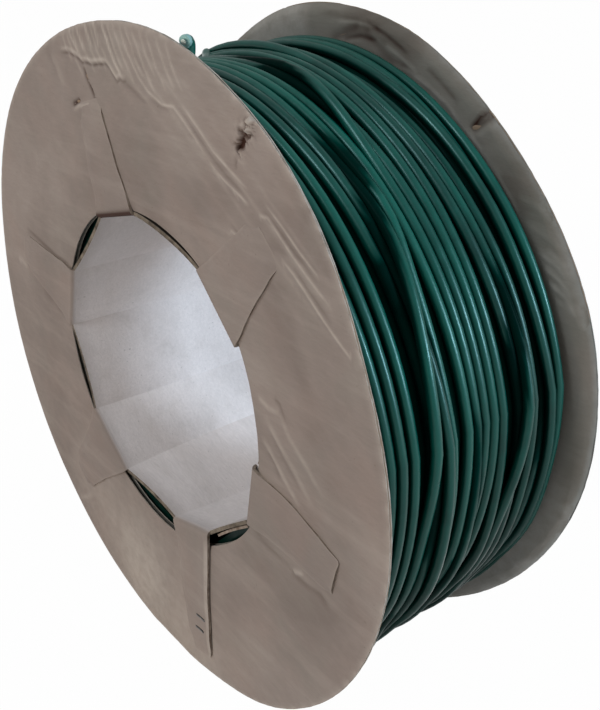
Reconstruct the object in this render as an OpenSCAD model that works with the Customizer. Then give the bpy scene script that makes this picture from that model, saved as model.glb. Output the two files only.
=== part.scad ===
// Cardboard spool of plastic covered wire.
// It stands on the rims of its two flanges: +Z is up, the spool's axis runs along Y,
// the near flange is on the -Y side, and the origin is on the floor below the spool's middle.
// Angles round the axis are clockwise from upright, seen from the near side.

/* [Flanges] */
// Diameter of each flange
flange_d = 260; // [250:2:320]
// Distance between the outer faces of the two flanges
spool_w = 92; // [60:1:120]
// Thickness of the corrugated board of the flanges
board_t = 3; // [2.4:0.1:4.5]
// Thickness of each sheet of paper in that board
paper_t = 0.4; // [0.3:0.05:0.6]
// Distance from one flute of the board to the next
flute_pitch = 6.5; // [5:0.1:9]
// Diameter of the round hole in each flange
hole_d = 131; // [110:1:140]
// Width of the flat that is crushed into each rim where the spool stands
rim_flat_w = 36; // [26:1:50]
// Direction of the near flange's flutes
near_flute_turn = 122; // [0:1:180]
// Direction of the far flange's flutes
far_flute_turn = 75; // [0:1:180]

/* [Core sleeve] */
// Thickness of the board of the core sleeve and its flaps
core_t = 1.5; // [1:0.1:2.5]
// Clearance between the sleeve's corners and the holes in the flanges
core_clearance = 0.3; // [0.1:0.1:1]
// Width of the narrow panels, which end in the flaps
narrow_w = 28; // [22:0.5:34]
// Position of the first flap
flap_turn = -17; // [-30:1:30]
// Length of a flap from its fold
flap_len = 44; // [30:1:50]
// Width of a flap's outer end
flap_end_w = 16.5; // [8:0.5:22]
// Length of the stapled flap on the near flange, which folds out further
stapled_flap_len = 56; // [30:1:60]
// Sideways lean of that flap's outer end
stapled_flap_lean = 12; // [0:1:14]

/* [Staples] */
// Length of a staple's crown
crown_len = 9; // [7:0.5:12]
// Width of the flat staple wire
staple_w = 1.2; // [0.8:0.1:1.6]
// Thickness of the flat staple wire
staple_t = 0.6; // [0.4:0.1:0.8]
// Distance between the two staples of a pair
staple_spacing = 6.8; // [4:0.2:8]
// Distance of the near pair's middle from the outer end of its flap
near_staple_inset = 14; // [6:0.5:20]
// Distance of the far pair's middle from the outer end of its flap
far_staple_inset = 8; // [6:0.5:16]
// Clearance round a staple where it sinks into the board
staple_clearance = 0.05; // [0.02:0.01:0.15]

/* [Winding] */
// Diameter of the wire over its plastic cover
wire_d = 3.8; // [2.5:0.1:4.5]
// How far the flanges stand out past the winding, at the height of the axis
rim_above_winding = 10.5; // [9:0.5:40]
// How far the slack winding hangs below the spool's axis
winding_sag = 4.8; // [0:0.1:5]
// Least gap between two outer turns
turn_gap = 0.45; // [0.42:0.01:2]
// Gap between the outer turns and the layers below them
layer_gap = 0.05; // [0.02:0.01:0.2]
// Gap between the winding and each flange
side_gap = 0.4; // [0.1:0.1:2]
// How far the outer turns waver to each side
waver = 1.2; // [0:0.1:2]
// Gap between the wire's end and the turns that it crosses
crossing_gap = 0.3; // [0.1:0.1:1]
// Gap between the wire's end and the near flange's rim
rim_gap = 0.4; // [0.2:0.1:1]
// Diameter of the metal conductor in the wire
conductor_d = 1.8; // [1:0.1:2.2]
// How far the conductor stands out of the cut end
conductor_out = 0.8; // [0.2:0.1:3]

/* [Hidden] */
$fn = 96;
kraft = "#8f7f73";
kraft_inside = "#b9b4b0";
fluting_brown = "#a58f78";
staple_grey = "#8b8b8b";
wire_green = "#0f5a48";
conductor_grey = "#a9b8b5";

flap_count = 6;
stapled_flap = 4;
flap_pitch = 360 / flap_count;
flange_r = flange_d / 2;
axis_z = sqrt(flange_r * flange_r - rim_flat_w * rim_flat_w / 4);
near_face = -spool_w / 2;
far_face = spool_w / 2;
inside_near = near_face + board_t;
inside_far = far_face - board_t;

// The sleeve's section: narrow and wide panels in turn, with their corners on one circle.
corner_r = hole_d / 2 - core_clearance;
narrow_half = asin(narrow_w / 2 / corner_r);
narrow_reach = corner_r * cos(narrow_half);
wide_reach = corner_r * cos(flap_pitch / 2 - narrow_half);

// Direction of flap number i
function flap_angle(i) = flap_turn + flap_pitch * (i - 1);
// Half the width of a narrow panel, measured at a depth below the sleeve's outside
function half_narrow(depth) =
    ((wide_reach - depth) - (narrow_reach - depth) * cos(flap_pitch / 2)) / sin(flap_pitch / 2);
// A point in the flange's plane from its radial and sideways distance at an angle
function in_plane(angle, radial, aside) =
    [radial * sin(angle) + aside * cos(angle), radial * cos(angle) - aside * sin(angle)];
// The sleeve's corners at a depth below its outside
function sleeve_corners(depth) = [
    for (i = [1 : flap_count])
        for (s = [-1, 1])
            in_plane(flap_angle(i), narrow_reach - depth, s * half_narrow(depth))
];

// Shapes that are drawn in the flange's plane and given a thickness along the axis
module along_axis(from, to) {
    translate([0, to, axis_z]) rotate([90, 0, 0]) linear_extrude(to - from) children();
}

module flange_outline() {
    difference() {
        circle(d = flange_d);
        circle(d = hole_d);
        translate([-flange_r, -axis_z - flange_r]) square([flange_d, flange_r]);
    }
}

// Staples: a pair lies across the stapled flap at each face, sunk flush into the board.
stapled_angle = flap_angle(stapled_flap);
clinch_len = crown_len / 2 - staple_w;

// One staple, with room added all round it: its crown in the flap's outer face,
// and its legs through the flange and turned inward in the flange's inner face
module staple(room) {
    translate([-crown_len / 2 - room, -core_t - room, -staple_w / 2 - room])
        cube([crown_len + 2 * room, staple_t + 2 * room, staple_w + 2 * room]);
    for (s = [-1, 1]) {
        leg_x = s * (crown_len - staple_t) / 2;
        translate([leg_x - staple_t / 2 - room, -core_t - room, -staple_w / 2 - room])
            cube([staple_t + 2 * room, core_t + board_t + 2 * room, staple_w + 2 * room]);
        translate([leg_x - s * (clinch_len - staple_t) / 2, board_t - staple_t / 2, 0])
            cube([clinch_len + 2 * room, staple_t + 2 * room, staple_w + 2 * room], center = true);
    }
}

// A pair of staples in the near flange, at a radial and a sideways distance in its flap
module staple_pair(radial, aside, room) {
    for (s = [-0.5, 0.5]) {
        place = in_plane(stapled_angle, radial + s * staple_spacing, aside);
        translate([place[0], near_face, axis_z + place[1]]) rotate([0, stapled_angle, 0]) staple(room);
    }
}

// The near pair follows its flap's leaning middle line.
module near_pair(room) {
    aside = stapled_flap_lean * (1 - near_staple_inset / stapled_flap_len);
    staple_pair(narrow_reach + stapled_flap_len - near_staple_inset, aside, room);
}

module far_pair(room) {
    mirror([0, 1, 0]) staple_pair(narrow_reach + flap_len - far_staple_inset, 0, room);
}

// A flange's paper liner between two places on the axis
module liner(from, to) {
    color(kraft) difference() {
        along_axis(from, to) flange_outline();
        near_pair(staple_clearance);
        far_pair(staple_clearance);
    }
}

// The wavy paper between the liners: flat crests where it is glued, and slopes between them
module fluting(from, turn) {
    crest = flute_pitch * 0.2;
    waves = ceil(flange_d / flute_pitch / 2) + 1;
    low = paper_t;
    high = board_t - 2 * paper_t;
    under = [
        for (i = [-waves : waves])
            for (p = [[0, low], [crest, low], [flute_pitch / 2, high], [flute_pitch / 2 + crest, high]])
                [i * flute_pitch + p[0], p[1]]
    ];
    last = len(under) - 1;
    over = [for (i = [last : -1 : 0]) under[i] + [0, paper_t]];
    color(fluting_brown) difference() {
        intersection() {
            along_axis(from + paper_t, from + board_t - paper_t) flange_outline();
            translate([0, from, axis_z]) rotate([0, turn, 0])
                linear_extrude(flange_d + 2, center = true) polygon(concat(under, over));
        }
        near_pair(staple_clearance);
        far_pair(staple_clearance);
    }
}

module core_sleeve() {
    color(kraft_inside) along_axis(near_face, far_face) difference() {
        polygon(sleeve_corners(0));
        polygon(sleeve_corners(core_t));
    }
}

// A flap on the far face, folded outward from its narrow panel: its outline tapers, and may lean,
// and its section turns through a quarter round at the fold.
module flap(i, length, lean) {
    root = half_narrow(core_t);
    color(kraft) translate([0, far_face, axis_z]) rotate([0, flap_angle(i) - 90, 0]) intersection() {
        linear_extrude(narrow_w + 2 * length, center = true) {
            translate([narrow_reach, 0]) square([length, core_t]);
            translate([narrow_reach, 0]) intersection() {
                circle(r = core_t);
                translate([-core_t, 0]) square(core_t);
            }
        }
        translate([0, core_t + 1, 0]) rotate([90, 0, 0]) linear_extrude(core_t + 2) polygon([
            [narrow_reach - core_t, -root],
            [narrow_reach, -narrow_w / 2],
            [narrow_reach + length, -lean - flap_end_w / 2],
            [narrow_reach + length, -lean + flap_end_w / 2],
            [narrow_reach, narrow_w / 2],
            [narrow_reach - core_t, root]
        ]);
    }
}

module far_flap(i) {
    difference() {
        flap(i, flap_len, 0);
        if (i == stapled_flap) far_pair(staple_clearance);
    }
}

module near_flap(i) {
    stapled = i == stapled_flap;
    difference() {
        mirror([0, 1, 0]) flap(i, stapled ? stapled_flap_len : flap_len, stapled ? stapled_flap_lean : 0);
        if (stapled) near_pair(staple_clearance);
    }
}

module near_staples() {
    color(staple_grey) near_pair(0);
}

module far_staples() {
    color(staple_grey) far_pair(0);
}

// The outer turns: one helix round a circle that hangs a little below the axis.
wire_r = wire_d / 2;
turn_r = flange_r - rim_above_winding - wire_r;
steps = 24;
start_angle = -64;
first_y = inside_near + side_gap + waver + wire_r;
last_y = inside_far - side_gap - waver - wire_r;
turns = min(24, floor((last_y - first_y) / (wire_d + turn_gap)));
turn_pitch = (last_y - first_y) / turns;
inner_layers_r = turn_r * cos(180 / steps) - wire_r - layer_gap;

// Distance from the spool's axis to the outer turns' centre line at an angle
function turn_reach(angle) =
    sqrt(turn_r * turn_r - pow(winding_sag * sin(angle), 2)) - winding_sag * cos(angle);
// A point from its distance to the axis, its angle and its place along the axis
function around(reach, angle, y) = [reach * sin(angle), y, axis_z + reach * cos(angle)];
// A point on the helix after a number of steps
function on_helix(step) =
    let (angle = start_angle + step * 360 / steps)
    around(turn_reach(angle), angle, first_y + turn_pitch * step / steps + waver * sin(3 * angle));
function unit(v) = v / norm(v);
helix = [for (i = [0 : turns * steps]) on_helix(i)];
helix_last = len(helix) - 1;
start_way = unit(on_helix(0.2) - on_helix(0));
end_way = unit(on_helix(helix_last) - on_helix(helix_last - 0.2));
// The ends run straight for one diameter of the wire.
outer_route = concat(
    [helix[0] - start_way * wire_d],
    helix,
    [helix[helix_last] + end_way * wire_d]
);

// The wire's end climbs onto the outer turns, crosses them towards the near flange, and rises
// past its rim. Each point is: the angle, how far it has climbed onto the turns, where it lies
// between the first turn and the last, how far it has risen to the rim, and how far it has
// moved from the first turn to the middle of the rim.
end_points = [
    [-56, 0.12, 1, 0, 0], [-51, 0.4, 1, 0, 0], [-46, 0.75, 1, 0, 0], [-41, 1, 0.98, 0, 0],
    [-36, 1, 0.92, 0, 0], [-31, 1, 0.84, 0, 0], [-26, 1, 0.75, 0, 0], [-21, 1, 0.66, 0, 0],
    [-16, 1, 0.57, 0, 0], [-11, 1, 0.48, 0, 0], [-6, 1, 0.38, 0, 0], [-1, 1, 0.28, 0, 0],
    [3, 1, 0.2, 0.03, 0], [6, 1, 0.13, 0.12, 0], [9, 1, 0.07, 0.28, 0], [11, 1, 0.03, 0.46, 0],
    [13, 1, 0, 0.68, 0.05], [14.5, 1, 0, 0.86, 0.2], [15.5, 1, 0, 1, 0.5], [16.3, 1, 0, 1.05, 0.85]
];
rim_reach = flange_r + wire_r + rim_gap;
rim_middle_y = near_face + board_t / 2;
function end_point(p) =
    let (crossing = turn_reach(p[0]) + p[1] * (wire_d + crossing_gap))
    around(
        crossing + p[3] * (rim_reach - crossing),
        p[0],
        first_y + p[2] * (last_y - first_y) + (p[2] == 1 ? waver * sin(3 * p[0]) : 0)
            + p[4] * (rim_middle_y - first_y)
    );
end_route = concat([outer_route[len(outer_route) - 1]], [for (p = end_points) end_point(p)]);
tip = end_route[len(end_route) - 1];
tip_way = unit(tip - end_route[len(end_route) - 2]);

// Direction of a route at one of its points
function way(route, i) =
    unit(route[min(i + 1, len(route) - 1)] - route[max(i - 1, 0)]);
// Corners of a ring of a given number of sides, square to the route at a point
function ring(route, i, sides) =
    let (
        ahead = way(route, i),
        out = unit(route[i] - [0, route[i][1], axis_z]),
        aside = unit(cross(ahead, out)),
        up = cross(aside, ahead)
    )
    [for (k = [0 : sides - 1])
        route[i] + wire_r * (cos(k * 360 / sides) * up + sin(k * 360 / sides) * aside)];

// A closed tube round a route
module wire_along(route, sides) {
    count = len(route);
    corners = [for (i = [0 : count - 1]) each ring(route, i, sides)];
    walls = [
        for (i = [0 : count - 2])
            for (k = [0 : sides - 1])
                let (a = i * sides + k, b = i * sides + (k + 1) % sides)
                each [[a, b, b + sides], [a, b + sides, a + sides]]
    ];
    last_ring = (count - 1) * sides;
    ends = [
        for (k = [1 : sides - 2])
            each [[0, k + 1, k], [last_ring, last_ring + k, last_ring + k + 1]]
    ];
    polyhedron(points = corners, faces = concat(walls, ends));
}

// Least gap between the wire and itself, on points at least half a turn apart
outer_gap = min([
    for (i = [0 : helix_last - steps / 2])
        for (j = [i + steps / 2 : min(i + 2 * steps, helix_last)])
            norm(helix[i] - helix[j])
]) - wire_d;
echo(turns = turns, least_gap_of_outer_layer = outer_gap);
// Least gap between the crossing end and the turns below it, on points along both
crossing_least = min([
    for (p = [5 : 1 : len(end_route) - 1])
        for (i = [0 : 0.25 : helix_last])
            norm(end_route[p] - on_helix(i))
]) - wire_d;
echo(least_gap_of_crossing_end = crossing_least);

module wire_inner_layers() {
    color(wire_green) along_axis(inside_near + side_gap, inside_far - side_gap) difference() {
        translate([0, -winding_sag]) circle(r = inner_layers_r);
        polygon(sleeve_corners(-side_gap));
    }
}

module wire_outer_layer() {
    color(wire_green) wire_along(outer_route, 6);
}

module wire_end() {
    color(wire_green) wire_along(end_route, 8);
}

module wire_conductor() {
    tilt = acos(tip_way[2]);
    heading = atan2(tip_way[1], tip_way[0]);
    color(conductor_grey) translate(tip) rotate([0, tilt, heading])
        cylinder(d = conductor_d, h = conductor_out);
}

liner(near_face, near_face + paper_t);  // near_outer_liner
fluting(near_face, near_flute_turn);  // near_fluting
liner(inside_near - paper_t, inside_near);  // near_inner_liner
liner(inside_far, inside_far + paper_t);  // far_inner_liner
fluting(inside_far, far_flute_turn);  // far_fluting
liner(far_face - paper_t, far_face);  // far_outer_liner
core_sleeve();
for (i = [1 : flap_count]) {
    near_flap(i);
    far_flap(i);
}
near_staples();
far_staples();
wire_inner_layers();
wire_outer_layer();
wire_end();
wire_conductor();
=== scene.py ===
"""Looks of a cardboard spool of green covered wire, with its studio and camera.

Lengths are metres. The spool stands on the rims of its flanges: Z is up, its axis runs along Y
and the near flange is on the -Y side. Angles round the axis are clockwise from upright, seen
from the near side. Places on a board are metres sideways and up from the axis, and in the
tables flange radii.
"""
import logging
import math
from dataclasses import dataclass
from enum import Enum
from typing import Callable, Sequence

import bpy
import numpy as np
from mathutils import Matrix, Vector, noise


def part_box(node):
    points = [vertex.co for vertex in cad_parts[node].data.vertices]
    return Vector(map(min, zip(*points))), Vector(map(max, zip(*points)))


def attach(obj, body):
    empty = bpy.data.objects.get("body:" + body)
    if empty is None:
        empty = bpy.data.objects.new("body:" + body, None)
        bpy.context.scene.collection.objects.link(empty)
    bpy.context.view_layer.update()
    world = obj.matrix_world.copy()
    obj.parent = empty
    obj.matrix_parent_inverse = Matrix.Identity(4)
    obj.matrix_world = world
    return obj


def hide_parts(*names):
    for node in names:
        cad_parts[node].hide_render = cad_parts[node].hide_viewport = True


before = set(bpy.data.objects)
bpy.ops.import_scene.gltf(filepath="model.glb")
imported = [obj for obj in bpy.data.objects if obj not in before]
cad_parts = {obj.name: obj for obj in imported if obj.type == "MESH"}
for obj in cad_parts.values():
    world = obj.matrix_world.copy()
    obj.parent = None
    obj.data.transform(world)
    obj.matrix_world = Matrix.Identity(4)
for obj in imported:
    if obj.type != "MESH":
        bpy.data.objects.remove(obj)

LOG = logging.getLogger("spool")
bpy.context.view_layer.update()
MM = 0.001
TURN = 2 * math.pi
Array = np.ndarray
Piece = bpy.types.Object
Finish = bpy.types.Material
Socket = bpy.types.NodeSocket
Triple = tuple[float, float, float]
Colour = tuple[float, float, float]
Place = tuple[float, float]


def paint(red: float, green: float, blue: float) -> tuple[float, float, float, float]:
    """Turn a paint colour of 0 to 255 into the linear light that a shader wants.

    Args:
        red: Share of red, 0 to 255.
        green: Share of green, 0 to 255.
        blue: Share of blue, 0 to 255.

    Returns:
        Linear red, green, blue and full opacity.
    """
    def linear(level: float) -> float:
        """Undo the screen's curve for one channel."""
        share = level / 255
        return share / 12.92 if share <= 0.04045 else ((share + 0.055) / 1.055) ** 2.4

    return (linear(red), linear(green), linear(blue), 1.0)


def ease(share: Array) -> Array:
    """Turn a share into a smooth step from 0 to 1."""
    held = np.clip(share, 0, 1)
    return held * held * (3 - 2 * held)


def bell(offset: Array, width: float) -> Array:
    """Height of a smooth hump at an offset from its middle."""
    return np.exp(-(offset / width) ** 2)


def angle_from(angle: Array, middle: float) -> Array:
    """Shortest way round from a middle angle to each angle."""
    return (angle - middle + math.pi) % TURN - math.pi


def hill(angle: Array, middle: float, width: float) -> Array:
    """Height of a smooth hump round the axis, its middle and width in degrees."""
    return bell(angle_from(angle, math.radians(middle)), math.radians(width))


class Side(Enum):
    """Which flange, and the way its outer face looks along Y."""

    NEAR = -1.0
    FAR = 1.0

    @property
    def word(self) -> str:
        """Start of the names of the pieces on this side."""
        return self.name.lower()


@dataclass(frozen=True)
class SpoolSizes:
    """Main sizes of the spool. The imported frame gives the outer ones."""

    flange_r: float
    axis_z: float
    face_y: float
    board_t: float
    paper_t: float
    hole_r: float = 65.5 * MM
    corner_r: float = 65.2 * MM
    narrow_w: float = 28 * MM
    core_t: float = 1.5 * MM
    first_flap: float = math.radians(-17)
    flute_pitch: float = 6.5 * MM
    sag: float = 4.8 * MM
    turn_r: float = 117.6 * MM
    wire_r: float = 1.9 * MM

    @classmethod
    def read(cls) -> "SpoolSizes":
        """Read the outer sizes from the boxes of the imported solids.

        Returns:
            The sizes of the whole spool.
        """
        low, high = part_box("near_outer_liner")
        radius = (high.x - low.x) / 2
        return cls(
            flange_r=radius,
            axis_z=high.z - radius,
            face_y=-low.y,
            board_t=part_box("near_inner_liner")[1].y - low.y,
            paper_t=high.y - low.y,
        )

    @property
    def narrow_half(self) -> float:
        """Half the angle that a narrow panel of the sleeve takes up."""
        return math.asin(self.narrow_w / 2 / self.corner_r)

    @property
    def narrow_reach(self) -> float:
        """Distance from the axis to the outside of a narrow panel."""
        return self.corner_r * math.cos(self.narrow_half)

    def flap_angle(self, number: int) -> float:
        """Direction of a flap by its number, 1 to 6."""
        return self.first_flap + (number - 1) * TURN / 6

    def reach(self, angle: Array, radius: Array) -> Array:
        """Distance from the spool's axis to a circle of the winding, which hangs a little low.

        Args:
            angle: Angles round the axis.
            radius: Radius of the circle about its own centre.

        Returns:
            The distance at each angle.
        """
        aside = self.sag * np.sin(angle)
        return np.sqrt(radius**2 - aside**2) - self.sag * np.cos(angle)

    def around(self, reach: Array, angle: Array, y: Array) -> Array:
        """Points from their distance to the axis, their angle and their place along it."""
        aside, up = reach * np.sin(angle), reach * np.cos(angle)
        return np.stack([aside, y, self.axis_z + up], axis=-1)

    def polar(self, points: Array) -> tuple[Array, Array]:
        """Angles of points round the axis, and their distances from it."""
        aside, up = self.spots(points).T
        return np.arctan2(aside, up), np.hypot(aside, up)

    def spots(self, points: Array) -> Array:
        """Places of points on a flange's face, sideways and up from the axis."""
        return np.stack([points[:, 0], points[:, 2] - self.axis_z], axis=1)

    def stand(self, spot: Array, y: Array) -> Array:
        """Points from places on a flange's face, sideways and up from the axis, and their Y."""
        return np.stack([spot[:, 0], y, self.axis_z + spot[:, 1]], axis=1)


class Bench:
    """The operators and vertex moves that every piece is made with."""

    @staticmethod
    def clear() -> None:
        """Leave edit mode and deselect everything."""
        if bpy.context.object and bpy.context.object.mode != "OBJECT":
            bpy.ops.object.mode_set(mode="OBJECT")
        bpy.ops.object.select_all(action="DESELECT")

    @staticmethod
    def focus(piece: Piece) -> None:
        """Select one piece only and make it active.

        Args:
            piece: The piece.
        """
        Bench.clear()
        piece.select_set(True)
        bpy.context.view_layer.objects.active = piece

    @staticmethod
    def join(pair: Sequence[Piece], name: str) -> Piece:
        """Join two pieces into one.

        Args:
            pair: The two.
            name: Name of the joined piece.

        Returns:
            The joined piece.
        """
        Bench.focus(pair[0])
        pair[1].select_set(True)
        bpy.ops.object.join()
        pair[0].name = pair[0].data.name = name
        return pair[0]

    @staticmethod
    def start(name: str, kind: str, **settings: object) -> Piece:
        """Add a primitive as the start of a piece.

        Args:
            name: Name of the piece.
            kind: Which primitive, such as circle or grid.
            **settings: What the primitive's operator takes.

        Returns:
            The new piece, with its place in its mesh.
        """
        Bench.clear()
        getattr(bpy.ops.mesh, f"primitive_{kind}_add")(**settings)
        piece = bpy.context.object
        piece.name = piece.data.name = name
        bpy.ops.object.transform_apply(location=True, rotation=True, scale=True)
        return piece

    @staticmethod
    def read(
        parts: bpy.types.bpy_prop_collection, key: str, width: int = 3, kind: type = float
    ) -> Array:
        """Read one value of all vertices, edges or faces of a mesh.

        Args:
            parts: The vertices, edges or faces.
            key: Name of the value.
            width: How many numbers it has.
            kind: Type of those numbers.

        Returns:
            One row for each vertex, edge or face.
        """
        flat = np.empty(len(parts) * width, kind)
        parts.foreach_get(key, flat)
        return flat.reshape(-1, width)

    @staticmethod
    def points(piece: Piece) -> Array:
        """Places of a piece's vertices, one row each."""
        return Bench.read(piece.data.vertices, "co")

    @staticmethod
    def move(piece: Piece, points: Array) -> None:
        """Move a piece's vertices to new places."""
        piece.data.vertices.foreach_set("co", points.reshape(-1))
        piece.data.update()

    @staticmethod
    def edges(piece: Piece) -> Array:
        """The two vertices of each edge."""
        return Bench.read(piece.data.edges, "vertices", 2, int)

    @staticmethod
    def centres(piece: Piece) -> Array:
        """Middle of each face."""
        return Bench.read(piece.data.polygons, "center")

    @staticmethod
    def edit(piece: Piece, kind: str, chosen: Array, *steps: Callable[[], object]) -> None:
        """Run operators in edit mode on chosen parts of a piece.

        Args:
            piece: The piece to edit.
            kind: vertices, edges or polygons.
            chosen: For each of those, whether it is selected.
            *steps: The operators, run in order.
        """
        Bench.focus(piece)
        kinds = ("vertices", "edges", "polygons")
        for part in kinds:
            items = getattr(piece.data, part)
            marks = chosen if part == kind else np.zeros(len(items), bool)
            items.foreach_set("select", np.ascontiguousarray(marks, bool))
        bpy.context.tool_settings.mesh_select_mode = [part == kind for part in kinds]
        bpy.ops.object.mode_set(mode="EDIT")
        for step in steps:
            step()
        bpy.ops.object.mode_set(mode="OBJECT")

    @staticmethod
    def edit_all(piece: Piece, *steps: Callable[[], object]) -> None:
        """Run operators in edit mode on a whole piece."""
        Bench.edit(piece, "vertices", np.ones(len(piece.data.vertices), bool), *steps)

    @staticmethod
    def modify(piece: Piece, kind: str, **settings: object) -> None:
        """Add a modifier to a piece and apply it.

        Args:
            piece: The piece.
            kind: Type of the modifier.
            **settings: The modifier's settings.
        """
        Bench.focus(piece)
        modifier = piece.modifiers.new(kind.title(), kind)
        for key, value in settings.items():
            setattr(modifier, key, value)
        bpy.ops.object.modifier_apply(modifier=modifier.name)

    @staticmethod
    def face_along(piece: Piece, wanted: Array) -> None:
        """Turn an open sheet's faces the other way where they look away from what is wanted.

        Args:
            piece: The sheet.
            wanted: One direction, or one for each face.
        """
        if (Bench.read(piece.data.polygons, "normal") * wanted).sum() < 0:
            Bench.edit_all(piece, bpy.ops.mesh.flip_normals)

    @staticmethod
    def close(piece: Piece, gap: float = 1e-6) -> None:
        """Merge doubles and turn all faces outward.

        Args:
            piece: The closed piece.
            gap: Distance below which vertices are merged.
        """
        Bench.edit_all(
            piece,
            lambda: bpy.ops.mesh.remove_doubles(threshold=gap),
            lambda: bpy.ops.mesh.normals_make_consistent(inside=False))

    @staticmethod
    def smooth(piece: Piece, angle: float = 40) -> None:
        """Shade a piece smooth, but for edges sharper than an angle in degrees."""
        Bench.focus(piece)
        bpy.ops.object.shade_smooth_by_angle(angle=math.radians(angle))

    @staticmethod
    def mark(piece: Piece, name: str, values: Array) -> None:
        """Store one number for each vertex, for the finish to read."""
        layer = piece.data.attributes.new(name, "FLOAT", "POINT")
        layer.data.foreach_set("value", np.asarray(values, np.float32))

    @staticmethod
    def ring_sheet(name: str, sizes: SpoolSizes, spokes: int, rings: int) -> Piece:
        """A flat flange sheet in the plane through the axis' middle, as rings of even faces.

        Args:
            name: Name of the piece.
            sizes: The spool's sizes.
            spokes: Number of faces round the hole.
            rings: Number of faces from the hole to the rim.

        Returns:
            The open sheet.
        """
        middle = (0, 0, sizes.axis_z)
        piece = Bench.start(
            name, "circle", vertices=spokes, radius=sizes.flange_r, fill_type="NOTHING",
            location=middle, rotation=(math.pi / 2, 0, 0),
        )
        share = sizes.hole_r / sizes.flange_r
        Bench.edit_all(
            piece, bpy.ops.mesh.extrude_edges_move,
            lambda: bpy.ops.transform.resize(value=(share,) * 3, center_override=middle))
        radius = np.hypot(*(Bench.points(piece) - middle)[:, [0, 2]].T)
        ends = radius[Bench.edges(piece)]
        Bench.edit(
            piece, "edges", np.abs(ends[:, 0] - ends[:, 1]) > sizes.board_t,
            lambda: bpy.ops.mesh.subdivide(number_cuts=rings - 1))
        return piece

    @staticmethod
    def tube(name: str, route: Array, radius: float, sides: int) -> Piece:
        """A closed round tube along a route.

        Args:
            name: Name of the piece.
            route: Points of its middle line.
            radius: Radius of the tube.
            sides: Even number of its sides.

        Returns:
            The tube as a mesh, with its rings of vertices in the order of the route.
        """
        Bench.clear()
        bpy.ops.curve.primitive_bezier_curve_add()
        piece = bpy.context.object
        curve = piece.data
        curve.splines.clear()
        spline = curve.splines.new("POLY")
        spline.points.add(len(route) - 1)
        spline.points.foreach_set("co", np.c_[route, np.ones(len(route))].reshape(-1))
        curve.dimensions = "3D"
        curve.bevel_depth = radius
        curve.bevel_resolution = sides // 2 - 2
        curve.use_fill_caps = True
        bpy.ops.object.convert(target="MESH")
        piece = bpy.context.object
        piece.name = piece.data.name = name
        piece.data.materials.clear()
        return piece

    @staticmethod
    def thicken(
        piece: Piece, thickness: float, face: Finish,
        cut: Finish, back: Finish | None = None,
    ) -> None:
        """Give a sheet its thickness, away from the side that it faces.

        Args:
            piece: The open sheet.
            thickness: Its thickness.
            face: Finish of the side that it faces.
            cut: Finish of its cut edges.
            back: Finish of its back, or None where it is like the face.
        """
        for material in (face, cut, back or face):
            piece.data.materials.append(material)
        Bench.modify(piece, "SOLIDIFY", thickness=thickness, offset=-1,
                     material_offset=2, material_offset_rim=1)

    @staticmethod
    def finish(
        piece: Piece, slot: str, material: Finish | None,
        *nodes: str,
    ) -> Piece:
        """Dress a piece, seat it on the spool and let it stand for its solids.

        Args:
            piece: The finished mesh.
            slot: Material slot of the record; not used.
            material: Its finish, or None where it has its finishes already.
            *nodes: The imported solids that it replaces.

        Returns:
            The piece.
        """
        if material:
            piece.data.materials.append(material)
        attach(piece, "root")
        if nodes:
            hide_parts(*nodes)
        triangles = sum(len(face.vertices) - 2 for face in piece.data.polygons)
        LOG.info("%s: %d triangles", piece.name, triangles)
        return piece


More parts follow.
